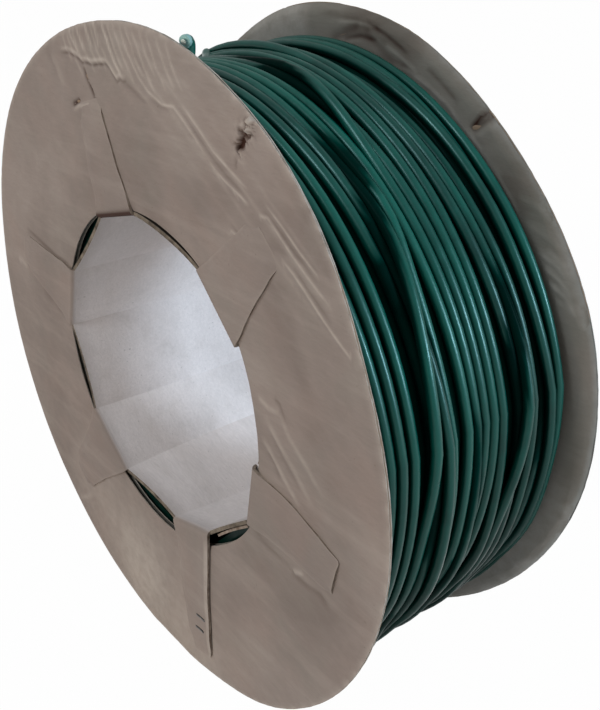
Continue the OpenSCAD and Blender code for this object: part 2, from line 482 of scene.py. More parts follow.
class Recipe:
    """A node material while it is being mixed."""

    def __init__(self, name: str) -> None:
        """Start an empty material with one shader.

        Args:
            name: Name of the material.
        """
        self.material = bpy.data.materials.new(name)
        self.material.use_nodes = True
        self.tree = self.material.node_tree
        self.tree.nodes.clear()
        self.shader = self.node("ShaderNodeBsdfPrincipled")
        self.node("ShaderNodeOutputMaterial", {"Surface": self.shader.outputs[0]})
        self.object_place = self.node("ShaderNodeTexCoord").outputs["Object"]

    def node(
        self, kind: str, sockets: dict[str | int, object] | None = None, **settings: object
    ) -> bpy.types.Node:
        """Add a node.

        Args:
            kind: Its Blender type.
            sockets: Input values or links by input name or number.
            **settings: The node's own settings.

        Returns:
            The node.
        """
        made = self.tree.nodes.new(kind)
        for key, value in settings.items():
            setattr(made, key, value)
        self.plug(made, sockets or {})
        return made

    def plug(self, node: bpy.types.Node, sockets: dict[str | int, object]) -> None:
        """Set or link a node's inputs.

        Args:
            node: The node.
            sockets: Input values or links by input name or number.
        """
        for key, value in sockets.items():
            if isinstance(value, Socket):
                self.tree.links.new(value, node.inputs[key])
            else:
                node.inputs[key].default_value = value

    def noise(
        self, size: float, detail: float = 3, rough: float = 0.55, twist: float = 0.0,
        stretch: Sequence[float] = (1, 1, 1), turn: float = 0.0,
    ) -> Socket:
        """Cloudy pattern fixed to the piece.

        Args:
            size: Size of its clouds.
            detail: How many finer clouds lie on them.
            rough: How strong the finer ones are.
            twist: How far it is pulled about.
            stretch: Scale along each axis after turning.
            turn: Angle that its X axis is turned by in the flange's plane.

        Returns:
            The pattern, about 0.2 to 0.8.
        """
        place = self.node(
            "ShaderNodeMapping",
            {"Vector": self.object_place, "Rotation": (0, turn, 0), "Scale": tuple(stretch)},
        ).outputs[0]
        return self.node(
            "ShaderNodeTexNoise",
            {"Vector": place, "Scale": 1 / size, "Detail": detail, "Roughness": rough,
             "Distortion": twist},
        ).outputs[0]

    def mark(self, name: str) -> Socket:
        """A number that is stored on the piece's vertices."""
        return self.node("ShaderNodeAttribute", attribute_name=name).outputs["Fac"]

    def sum(self, how: str, first: object, second: object = 0.0) -> Socket:
        """Two numbers put together by a Math node's operation."""
        return self.node("ShaderNodeMath", {0: first, 1: second}, operation=how).outputs[0]

    def span(
        self, value: object, low: float, high: float, start: float = 0.0, end: float = 1.0
    ) -> Socket:
        """Stretch a pattern's range onto another one, held at its ends."""
        sockets = {0: value, 1: low, 2: high, 3: start, 4: end}
        return self.node("ShaderNodeMapRange", sockets).outputs[0]

    def blend(self, share: object, first: object, second: object) -> Socket:
        """Mix two colours by a share."""
        sockets = {0: share, 6: first, 7: second}
        return self.node("ShaderNodeMix", sockets, data_type="RGBA").outputs[2]

    def surface(
        self, colour: object, roughness: object, height: object = None,
        depth: float = 0.0, **fixed: object,
    ) -> Finish:
        """Set the shader's sockets and hand over the material.

        Args:
            colour: Base colour, or a pattern of it.
            roughness: Roughness, or a pattern of it.
            height: Pattern that stands out of the surface.
            depth: How far it stands out.
            **fixed: Other shader sockets, by name with _ for a space.

        Returns:
            The finished material.
        """
        values: dict[str | int, object] = {"Base Color": colour, "Roughness": roughness}
        values |= {key.replace("_", " "): value for key, value in fixed.items()}
        if height is not None:
            values["Normal"] = self.node(
                "ShaderNodeBump", {"Height": height, "Strength": 1.0, "Distance": depth}
            ).outputs[0]
        self.plug(self.shader, values)
        return self.material


@dataclass(frozen=True)
class KraftPaper:
    """Recycled brown paper: cloudy tone, fibres, specks, pale ridges and dark creases, partly worn
    paper and partly painted highlight and painted shade.
    """

    name: str
    light: Colour
    dark: Colour
    worn: Colour = (176, 164, 152)
    # Colour of painted shade in creases, folds and the torn pit, with a little grime.
    shade_and_dirt: Colour = (54, 31, 21)
    inside: Colour | None = None
    grain_turn: float = math.radians(32)

    def material(self) -> Finish:
        """Mix the material.

        Returns:
            A material that reads a mark of worn paper and painted light, pale above zero as worn
            paper and painted highlight and dark below zero as painted shade, and, for a board that
            shows its inner side, "inside".
        """
        mix = Recipe(self.name)
        cloud = mix.span(mix.noise(70 * MM, 4, 0.6, 0.4), 0.34, 0.66)
        colour = mix.blend(cloud, paint(*self.dark), paint(*self.light))
        warm = mix.span(mix.noise(38 * MM, 2, 0.5, 0.8), 0.45, 0.8, 0, 0.16)
        colour = mix.blend(warm, colour, paint(150, 118, 104))
        cool = mix.span(mix.noise(27 * MM, 2, 0.5, 0.8, (1, 1, 1), 1.1), 0.5, 0.85, 0, 0.18)
        colour = mix.blend(cool, colour, paint(122, 124, 112))
        if self.inside:
            pale = mix.blend(cloud, paint(*[c * 0.93 for c in self.inside]), paint(*self.inside))
            colour = mix.blend(mix.mark("inside"), colour, pale)
        fibre = mix.noise(1.1 * MM, 5, 0.7, 0.6, (0.22, 1, 1), self.grain_turn)
        colour = mix.blend(mix.span(fibre, 0.3, 0.7, 0.0, 0.16), colour, paint(92, 78, 66))
        streak = mix.noise(9 * MM, 3, 0.6, 0.2, (0.12, 1, 1), self.grain_turn)
        colour = mix.blend(mix.span(streak, 0.5, 0.78, 0.0, 0.22), colour, paint(*self.worn))
        speck = mix.span(mix.noise(1.3 * MM, 1, 0.5), 0.74, 0.8, 0, 0.3)
        colour = mix.blend(speck, colour, paint(96, 80, 66))
        # Above zero the mark paints paler worn paper and painted highlight.
        wear_and_painted_light = mix.mark("wear_and_painted_light")
        patchy = mix.span(mix.noise(5 * MM, 4, 0.65), 0.3, 0.62, 0.55, 1.0)
        pale_share = mix.sum("MULTIPLY", mix.span(wear_and_painted_light, 0, 1.15), patchy)
        colour = mix.blend(pale_share, colour, paint(*self.worn))
        # Below zero it paints shade: creases, flap folds and the torn pit darken as painted shade.
        colour = mix.blend(mix.span(wear_and_painted_light, 0, -1), colour, paint(*self.shade_and_dirt))
        rough = mix.span(cloud, 0, 1, 0.78, 0.92)
        height = mix.sum("ADD", fibre, mix.sum("MULTIPLY", cloud, 1.5))
        return mix.surface(colour, rough, height, 0.12 * MM, Specular_IOR_Level=0.25)


@dataclass(frozen=True)
class CutEdge:
    """Cut edge of board: darker brown, with the plies as fine lines along it."""

    name: str
    pale: Colour = (150, 134, 116)
    deep: Colour = (86, 68, 52)

    def material(self) -> Finish:
        """Mix the material.

        Returns:
            The material.
        """
        mix = Recipe(self.name)
        ply = mix.noise(0.5 * MM, 2, 0.5, 0.3, (0.1, 1, 0.1))
        fray = mix.noise(3 * MM, 4, 0.7)
        share = mix.span(mix.sum("ADD", ply, fray), 0.7, 1.3)
        colour = mix.blend(share, paint(*self.deep), paint(*self.pale))
        return mix.surface(colour, 0.92, fray, 0.2 * MM, Specular_IOR_Level=0.2)


@dataclass(frozen=True)
class GreenCover:
    """Dark green soft plastic over wire: a satin gloss, with dust and rubbed patches, and painted
    shade that darkens it and dulls its gloss between the turns and low on the winding.
    """

    name: str = "green plastic cover"
    clean: Colour = (0, 88, 74)
    deep: Colour = (0, 46, 40)
    rubbed: Colour = (34, 96, 86)
    gloss: float = 0.72

    def material(self) -> Finish:
        """Mix the material.

        Returns:
            A material that reads the mark "tint" and a mark of painted shade between and below the
            turns.
        """
        mix = Recipe(self.name)
        tint = mix.mark("tint")
        cloud = mix.noise(16 * MM, 3, 0.6, 0.5)
        share = mix.span(mix.sum("ADD", tint, cloud), 0.45, 1.35)
        colour = mix.blend(share, paint(*self.deep), paint(*self.clean))
        dust = mix.span(mix.noise(4 * MM, 5, 0.7, 0.4), 0.55, 0.85, 0, 0.14)
        colour = mix.blend(dust, colour, paint(*self.rubbed))
        # Painted shade: where the mark is high the colour goes nearly black and the gloss dulls.
        groove_shade = mix.mark("groove_shade")
        colour = mix.blend(mix.span(groove_shade, 0, 1, 0, 0.95), colour, paint(2, 11, 9))
        rough = mix.span(mix.noise(7 * MM, 4, 0.6), 0.3, 0.7, 0.27, 0.42)
        shine = mix.span(groove_shade, 0, 0.75, self.gloss, 0.02 * self.gloss)
        return mix.surface(
            colour, rough, mix.noise(1.6 * MM, 4, 0.6), 0.04 * MM, Specular_IOR_Level=shine,
            Specular_Tint=(0.62, 1.0, 0.93, 1.0))


@dataclass(frozen=True)
class BareSteel:
    """Drawn steel wire: fine lines along it, dull with age."""

    name: str
    bright: Colour
    dull: Colour
    roughness: float = 0.4

    def material(self) -> Finish:
        """Mix the material.

        Returns:
            The material.
        """
        mix = Recipe(self.name)
        tarnish = mix.noise(1.5 * MM, 4, 0.6)
        colour = mix.blend(mix.span(tarnish, 0.35, 0.65), paint(*self.dull), paint(*self.bright))
        return mix.surface(
            colour, self.roughness, mix.noise(0.3 * MM, 3, 0.6), 0.02 * MM, Metallic=1.0
        )


class Palette:
    """Every finish of the spool, mixed once."""

    def __init__(self) -> None:
        """Mix the materials."""
        self.face = KraftPaper(
            "kraft liner", (144, 131, 122), (119, 106, 98), grain_turn=math.radians(32)
        ).material()
        # The inner liners: greyer kraft whose grey-green cast is partly the paper's own and partly
        # painted reflection of the green wire.
        self.shade_face = KraftPaper(
            "kraft liner, greyed", (138, 132, 122), (112, 109, 99), worn=(158, 152, 143),
            grain_turn=math.radians(-15),
        ).material()
        # Its inner side is a pale lining, set paler still as painted light for the light that
        # falls in through the far mouth.
        self.board = KraftPaper(
            "core board", (142, 129, 120), (126, 113, 105), inside=(243, 233, 228),
            grain_turn=math.radians(90),
        ).material()
        # The sleeve's outside, seen only in the gaps by the hole: painted near black as shade.
        self.painted_shade_back = KraftPaper(
            "kraft, unseen side", (20, 15, 12), (12, 9, 7), worn=(34, 27, 22)
        ).material()
        self.fluting = KraftPaper(
            "fluting paper", (150, 128, 106), (124, 102, 82), worn=(176, 158, 138)
        ).material()
        self.edge = CutEdge("cut board edge", (160, 146, 132), (96, 78, 64)).material()
        self.pale_edge = CutEdge(
            "cut edge of the pale board", (128, 116, 101), (56, 46, 37)).material()
        self.shade_rim = CutEdge(
            "cut paper edge, greyed", (126, 122, 112), (88, 84, 76)).material()
        self.rim = CutEdge("cut paper edge", (186, 174, 161), (132, 116, 101)).material()
        self.cover = GreenCover().material()
        # The buried layers: the same cover painted near black and almost without gloss, as painted
        # shade.
        self.packed_shade = GreenCover(
            "green plastic cover, buried", (4, 34, 28), (2, 20, 17), (10, 40, 34), 0.05
        ).material()
        self.staple = BareSteel("staple steel", (96, 92, 88), (40, 36, 34)).material()
        self.conductor = BareSteel("conductor", (176, 190, 186), (120, 132, 130), 0.35).material()
        # The cut end's cover painted pale teal: a painted highlight.
        self.cut_cover_highlight = GreenCover(
            "cut plastic cover", (150, 184, 178), (104, 150, 144), (180, 200, 196)
        ).material()


@dataclass(frozen=True)
class Crease:
    """A ridge along a line on a flange's face, or with a height below zero a furrow.

    Attributes:
        path: Its points, in flange radii.
        height: How far it stands out, in millimetres.
        width: Distance from its line at which it has nearly gone, in millimetres.
        tone: How much paler it is painted along it, or below zero darker: worn paper with painted
            highlight on ridges and painted shade in furrows; wide zones of no height paint light
            above zero and shade below it.
    """

    path: tuple[Place, ...]
    height: float
    width: float = 1.3
    tone: float = 0.0

    def at(self, spot: Array, radius: float) -> Array:
        """Strength of the crease at places on the face.

        Args:
            spot: Places on the board.
            radius: The flange's radius.

        Returns:
            0 to 1 for each place.
        """
        corners = np.array(self.path) * radius
        best = np.zeros(len(spot))
        lengths = np.linalg.norm(np.diff(corners, axis=0), axis=1)
        total = lengths.sum()
        done = 0.0
        for start, end, length in zip(corners[:-1], corners[1:], lengths):
            along = np.clip((spot - start) @ (end - start) / length**2, 0, 1)
            away = np.linalg.norm(spot - start - along[:, None] * (end - start), axis=1)
            share = (done + along * length) / total
            taper = np.clip(np.minimum(share, 1 - share) / 0.18, 0.0, 1.0) ** 0.6
            best = np.maximum(best, bell(away, self.width * MM) * taper)
            done += length
        return best


def along_ring(table: Sequence[Place], angle: Array) -> Array:
    """Read a table of offsets round the axis, with its corners rounded off.

    Args:
        table: Pairs of degrees and offset in millimetres.
        angle: Angles round the axis.

    Returns:
        The offsets in metres.
    """
    around = np.arange(360.0)
    values = np.interp(around, *np.array(table).T, period=360)
    hump = np.hanning(15)
    values = np.convolve(np.pad(values, 7, mode="wrap"), hump / hump.sum(), "valid")
    return np.interp(np.degrees(angle), around, values, period=360) * MM


@dataclass(frozen=True)
class Outline:
    """How a flange strays from a flat ring, as pairs of degrees and millimetres.

    Attributes:
        bend: How far its rim is bent outward, along the axis.
        reach: How far its rim stands out past the true circle.
        hole: The same for its hole.
    """

    bend: tuple[Place, ...]
    reach: tuple[Place, ...]
    hole: tuple[Place, ...] = ((0, 0.0),)


NEAR_OUTLINE = Outline(
    bend=((0, 0.8), (20, 0.8), (40, 1.2), (60, 1.6), (80, 1.6), (100, 1.4), (120, 1),
          (140, 0.9), (160, 0.4), (180, 0.2), (200, 0.1), (265, 0.1), (280, 0.4), (295, 1),
          (310, 1.6), (325, 1.7), (340, 1.3), (352, 0.9)),
    reach=((0, 0.6), (12, 1.45), (24, 1.2), (35, 1.7), (43, 1.3), (48, 0.9), (54, -0.5),
           (60, -1.7), (66, -2.5), (72, -2.2), (78, -1.7), (90, -1.1), (108, -0.85),
           (120, -0.55), (132, 0.05), (148, 0.75), (156, 0.4), (162, -0.3), (168, -0.7),
           (180, -0.3), (192, -0.1), (210, 0.2), (264, 0.4), (282, 0.3), (300, 0.7),
           (312, 0.9), (330, 0.65), (345, 0.1), (354, 0.1)),
    hole=((0, 1.8), (15, 2.2), (30, 3.2), (56, 3), (75, 0.6), (94, 0.2), (116, 2.1), (140, 0),
          (235, 0), (270, 1.6), (300, 0.4), (333, 1.4)),
)
FAR_OUTLINE = Outline(
    bend=((0, 0.3), (45, 0.4), (60, 0.8), (75, 1.6), (90, 1.8), (105, 1.5), (120, 0.8),
          (135, 0.4), (220, 0.6), (330, 0.2)),
    reach=((5, -1.3), (18, -1.5), (30, -2.9), (40, -3.5), (48, -3), (60, -1.2), (72, 0.3),
           (90, 1.1), (100, 1.3), (110, 0.9), (120, 0), (132, -1), (140, -1.2), (165, 0),
           (290, 0), (318, -3.2), (330, -3.6), (336, -2.5), (342, -1.6), (350, -1)),
)


RIDGES = (
    ((-0.115, 1), (-0.085, 0.955), (-0.055, 0.905), (-0.02, 0.868)),
    ((-0.02, 1), (0, 0.955), (0.03, 0.915), (0.06, 0.88), (0.1, 0.852), (0.16, 0.832),
     (0.21, 0.836), (0.25, 0.81), (0.3, 0.775), (0.345, 0.738)),
    ((0.34, 0.742), (0.38, 0.717), (0.42, 0.7), (0.47, 0.683), (0.505, 0.668)),
    ((0.52, 0.655), (0.57, 0.66), (0.61, 0.632), (0.66, 0.597), (0.72, 0.56), (0.79, 0.52)),
    ((0.6, 0.59), (0.66, 0.557), (0.7, 0.53), (0.76, 0.487), (0.81, 0.455), (0.88, 0.415)),
    ((0.41, 0.575), (0.43, 0.59), (0.455, 0.583), (0.49, 0.56), (0.53, 0.548)),
    ((-0.155, 0.995), (-0.14, 0.965), (-0.125, 0.925)),
    ((-0.25, 0.975), (-0.23, 0.945), (-0.205, 0.905)),
    ((-0.29, 0.96), (-0.27, 0.935), (-0.24, 0.9)),
    ((-0.2, 0.985), (-0.18, 0.955), (-0.16, 0.92)),
    ((0.25, 0.845), (0.31, 0.805), (0.37, 0.762), (0.43, 0.735), (0.5, 0.705)),
    ((0.56, 0.69), (0.62, 0.655), (0.68, 0.615), (0.75, 0.575)),
)
STREAKS = tuple(
    ((start, min(0.995, math.sqrt(1 - start**2))), (start + 0.35 * drop, 0.985 - 0.55 * drop
      - start**2 / 2), (start + 0.72 * drop, 0.985 - drop - start**2 / 2))
    for start, drop in (
        (-0.325, 0.06), (-0.3, 0.1), (-0.268, 0.085), (-0.232, 0.1), (-0.2, 0.09), (-0.17, 0.1),
        (-0.142, 0.08), (-0.105, 0.12), (-0.08, 0.09), (-0.05, 0.12), (0.01, 0.1), (0.04, 0.14),
        (0.075, 0.09), (0.105, 0.12), (0.15, 0.1), (0.19, 0.09))
)
GROOVES = (
    ((-0.085, 0.985), (-0.06, 0.93), (-0.025, 0.885)),
    ((0, 0.985), (0.03, 0.95), (0.07, 0.91), (0.11, 0.872)),
    ((0.2, 0.858), (0.25, 0.826), (0.3, 0.79), (0.36, 0.748), (0.42, 0.715), (0.5, 0.685)),
    ((0.55, 0.674), (0.6, 0.647), (0.66, 0.61), (0.74, 0.565)),
    ((0.43, 0.605), (0.49, 0.577), (0.53, 0.56)),
    ((0.66, 0.572), (0.72, 0.53), (0.79, 0.485)),
    ((-0.235, 0.975), (-0.215, 0.94), (-0.19, 0.905)),
    ((-0.14, 0.99), (-0.125, 0.96), (-0.11, 0.92)),
)
CRUMPLE = ((-0.35, 0.886), (-0.325, 0.889), (-0.3, 0.893), (-0.27, 0.888), (-0.245, 0.883),
           (-0.23, 0.876), (-0.2, 0.879), (-0.17, 0.877), (-0.15, 0.882), (-0.13, 0.885),
           (-0.1, 0.889), (-0.085, 0.882), (-0.07, 0.868), (-0.05, 0.853), (-0.035, 0.861),
           (-0.02, 0.857), (0, 0.866))
BUCKLED = ((-0.12, 0.97), (0.05, 0.9), (0.3, 0.8), (0.5, 0.69), (0.8, 0.49))
# Ridge tones paint highlight along the ridges, and furrow tones paint shade in them.
NEAR_CREASES = (
    *(Crease(path, 0.11, 0.5, 0.75) for path in RIDGES),
    *(Crease(path, -0.12, 0.7, -0.2) for path in GROOVES),
    *(Crease(path, 0.1, 0.6, 0.45) for path in STREAKS),
    Crease(CRUMPLE, -0.3, 0.5, -0.6),
    Crease(tuple((x, y + 0.012) for x, y in CRUMPLE), 0.22, 0.7, 0.8),
    Crease(tuple((x, y + 0.035) for x, y in CRUMPLE), 0.2, 3.5, 0.15),
    Crease(((-0.03, 0.86), (0.02, 0.845), (0.07, 0.825), (0.1, 0.822)), -0.25, 0.9, -0.25),
    Crease(((0.1, 0.835), (0.15, 0.823), (0.2, 0.822)), -0.3, 0.9, -0.2),
    Crease(((-0.4, 0.88), (-0.37, 0.84), (-0.345, 0.8)), 0.3, 1.6, 0.25),
    Crease(((-0.43, 0.895), (-0.41, 0.86), (-0.38, 0.82)), -0.2, 1.5, -0.08),
    Crease(((-0.225, 0.867), (-0.216, 0.842), (-0.199, 0.819), (-0.181, 0.792), (-0.161, 0.765)),
           -0.7, 0.6, -1),
    Crease(((-0.1, 0.95), (0.15, 0.9), (0.3, 0.83)), 0, 14, 0.22),
    # Wide pale zones low on the face: painted light, the light thrown up from below.
    Crease(((-0.35, -0.85), (0, -0.92), (0.3, -0.85)), 0, 34, 0.5),
    Crease(((-0.62, -0.5), (-0.35, -0.72), (0, -0.78)), 0, 30, 0.4),
    Crease(((-0.312, 0.752), (-0.29, 0.762), (-0.265, 0.773)), -0.7, 0.75, -1.1),
    Crease(((-0.31, 0.738), (-0.27, 0.757), (-0.24, 0.763), (-0.2, 0.775)), 0.3, 0.8, 0.6),
    Crease(((0.54, 0.15), (0.6, 0.09), (0.66, 0.045), (0.73, -0.02)), 0.22, 1.2, 0.4),
    Crease(((0.59, 0.2), (0.64, 0.13), (0.7, 0.085), (0.77, 0.03)), 0.2, 1.1, 0.35),
    Crease(((0.53, 0.08), (0.57, 0.045), (0.62, 0), (0.68, -0.05)), 0.25, 1.1, 0.5),
    Crease(((0.56, 0.11), (0.61, 0.06), (0.68, 0)), -0.2, 1, -0.15),
    Crease(((0.51, 0.19), (0.56, 0.175), (0.6, 0.18)), 0.2, 1, 0.5),
    Crease(((0.58, 0.215), (0.6, 0.205), (0.625, 0.16)), -0.25, 1, -0.25),
    Crease(((0.55, 0.05), (0.58, 0.02), (0.6, -0.01)), -0.2, 0.9, -0.2),
    Crease(((0.47, -0.23), (0.52, -0.252), (0.6, -0.262), (0.66, -0.272)), -0.25, 1.8, -0.2),
    Crease(((0.64, -0.275), (0.7, -0.277), (0.76, -0.272), (0.79, -0.285)), -0.35, 1.4, -0.35),
    Crease(((0.65, -0.268), (0.685, -0.25), (0.69, -0.24)), 0.35, 1, 0.6),
    Crease(((0.467, 0.781), (0.457, 0.761), (0.454, 0.74)), -0.3, 0.5, -0.3),
    Crease(((0.471, 0.777), (0.475, 0.763)), -0.3, 0.5, -0.25),
    Crease(((0.477, 0.781), (0.483, 0.771)), 0.3, 0.5, 0.4),
    Crease(((-0.46, 0.225), (-0.55, 0.228), (-0.65, 0.245), (-0.76, 0.268)), -0.3, 1.1, -0.4),
    Crease(((-0.5, 0.01), (-0.6, 0.04), (-0.7, 0.065)), -0.22, 1.7, -0.18),
    Crease(((-0.62, 0.19), (-0.68, 0.165), (-0.74, 0.13)), 0.25, 1.8, 0.2),
    Crease(((-0.5, 0.13), (-0.58, 0.15), (-0.67, 0.155), (-0.76, 0.19)), 0.2, 1.8, 0.17),
    Crease(((-0.8, 0.11), (-0.84, 0.13), (-0.87, 0.125)), 0.4, 1.6, 0.45),
    Crease(((-0.51, -0.68), (-0.57, -0.72), (-0.62, -0.75)), 0.3, 1.4, 0.3),
    Crease(((-0.45, 0.62), (-0.4, 0.6), (-0.33, 0.59)), 0.15, 2.4, 0.14),
    Crease(((-0.62, 0.55), (-0.55, 0.56), (-0.47, 0.6)), 0.15, 2.4, 0.12),
)

FAR_INNER_CREASES = (
    Crease(((0.232, 0.858), (0.302, 0.844), (0.367, 0.82), (0.438, 0.785), (0.502, 0.737),
            (0.569, 0.688), (0.628, 0.636), (0.684, 0.578), (0.746, 0.497)), 0.3, 0.9, 0.8),
    Crease(((0.419, 0.766), (0.487, 0.718), (0.554, 0.666), (0.614, 0.617), (0.667, 0.561)),
           -0.3, 0.9, -0.5),
    Crease(((0.788, 0.469), (0.839, 0.45), (0.887, 0.412)), 0.2, 1, 0.5),
    Crease(((0.801, 0.438), (0.851, 0.416), (0.896, 0.377)), 0.2, 1, 0.5),
    Crease(((0.816, 0.405), (0.869, 0.379), (0.911, 0.339)), 0.2, 1, 0.5),
    Crease(((0.801, 0.486), (0.823, 0.477), (0.869, 0.454)), 0.2, 1, 0.45),
    # A wide zone of no height: painted shade.
    Crease(((0.626, 0.651), (0.681, 0.599), (0.731, 0.541)), 0, 9, -0.3),
    Crease(((0.573, 0.793), (0.544, 0.76), (0.527, 0.734)), -0.5, 1, -0.9),
    # Wide zones of no height: painted light at the top left and low at the right, painted shade at
    # the top.
    Crease(((-0.45, 0.86), (-0.3, 0.93), (-0.12, 0.96)), 0, 17, 1.1),
    Crease(((0.02, 0.95), (0.2, 0.93), (0.35, 0.9)), 0, 16, -0.35),
    Crease(((0.95, -0.1), (0.93, -0.3), (0.8, -0.52), (0.6, -0.72)), 0, 22, 0.9),
    Crease(((0.03, 0.9), (0.1, 0.915), (0.17, 0.91)), -0.35, 0.9, -0.45),
    Crease(((0.12, 0.955), (0.2, 0.93), (0.29, 0.89)), -0.3, 0.8, -0.45),
    Crease(((0.2, 0.905), (0.27, 0.875), (0.33, 0.845)), 0.3, 0.9, 0.6),
    Crease(((0, 0.94), (0.08, 0.95), (0.16, 0.945)), 0.25, 0.9, 0.5),
    Crease(((0.36, 0.865), (0.42, 0.83), (0.48, 0.79)), -0.25, 1, -0.4),
    Crease(((0.6, 0.79), (0.56, 0.755), (0.53, 0.73)), -0.5, 1.4, -0.55),
    Crease(((0.62, 0.775), (0.58, 0.74), (0.55, 0.715)), 0.35, 1.4, 0.25),
    Crease(((-0.03, 0.885), (0.03, 0.915), (0.1, 0.945)), -0.4, 2, -0.35),
    Crease(((0.1, 0.945), (0.17, 0.905), (0.24, 0.87), (0.32, 0.83)), -0.35, 2.2, -0.3),
    Crease(((0.13, 0.935), (0.2, 0.895), (0.27, 0.86)), 0.35, 1.5, 0.35),
    Crease(((0.04, 0.9), (0.12, 0.89), (0.19, 0.88)), 0.2, 2, 0.2),
    Crease(((-0.08, 0.965), (0.02, 0.962), (0.1, 0.955), (0.18, 0.94)), -0.25, 1.8, -0.22),
    Crease(((0.7, 0.6), (0.76, 0.585), (0.82, 0.57)), 0.25, 1.6, 0.25),
    Crease(((0.73, 0.535), (0.79, 0.52), (0.86, 0.49)), 0.25, 1.5, 0.25),
    Crease(((0.78, 0.47), (0.83, 0.46), (0.89, 0.43)), 0.25, 1.4, 0.3),
    Crease(((0.8, 0.44), (0.85, 0.42), (0.91, 0.385)), 0.25, 1.3, 0.3),
    Crease(((0.82, 0.4), (0.87, 0.385), (0.93, 0.34)), 0.25, 1.3, 0.3),
    Crease(((0.84, 0.36), (0.89, 0.35), (0.94, 0.31)), 0.22, 1.3, 0.25),
    Crease(((0.82, -0.5), (0.85, -0.47), (0.87, -0.44)), 0.4, 2.2, 0.4),
    Crease(((0.95, -0.2), (0.975, -0.26)), 0.3, 2, 0.3),
)


def far_outer_creases() -> tuple[Crease, ...]:
    """Creases of the far flange's outer face: flutes that buckled near the rim, and a dent.

    Returns:
        The creases, the same each run.
    """
    draw = np.random.default_rng(23)
    along = np.array((math.sin(math.radians(75)), math.cos(math.radians(75))))
    made = []
    for start in draw.uniform(0, TURN, 26):
        reach = draw.uniform(0.8, 0.97)
        first = reach * np.array((math.sin(start), math.cos(start)))
        last = first + along * draw.uniform(0.08, 0.26) * draw.choice((-1, 1))
        last *= min(1, 0.985 / np.linalg.norm(last))
        bow = (first + last) / 2 + draw.normal(0, 0.008, 2)
        rise = draw.uniform(0.18, 0.45) * draw.choice((-1, 1, 1))
        made.append(Crease((tuple(first), tuple(bow), tuple(last)), rise, 1.6, rise))
    return (
        *made,
        Crease(((0.55, 0.7), (0.62, 0.66), (0.66, 0.6), (0.74, 0.57)), -0.6, 1.3, -0.4),
        Crease(((0.56, 0.73), (0.64, 0.68), (0.69, 0.62)), 0.4, 1.5, 0.4),
        Crease(((-0.7, -0.3), (-0.76, -0.35), (-0.8, -0.44)), -0.5, 1.4, -0.3),
    )


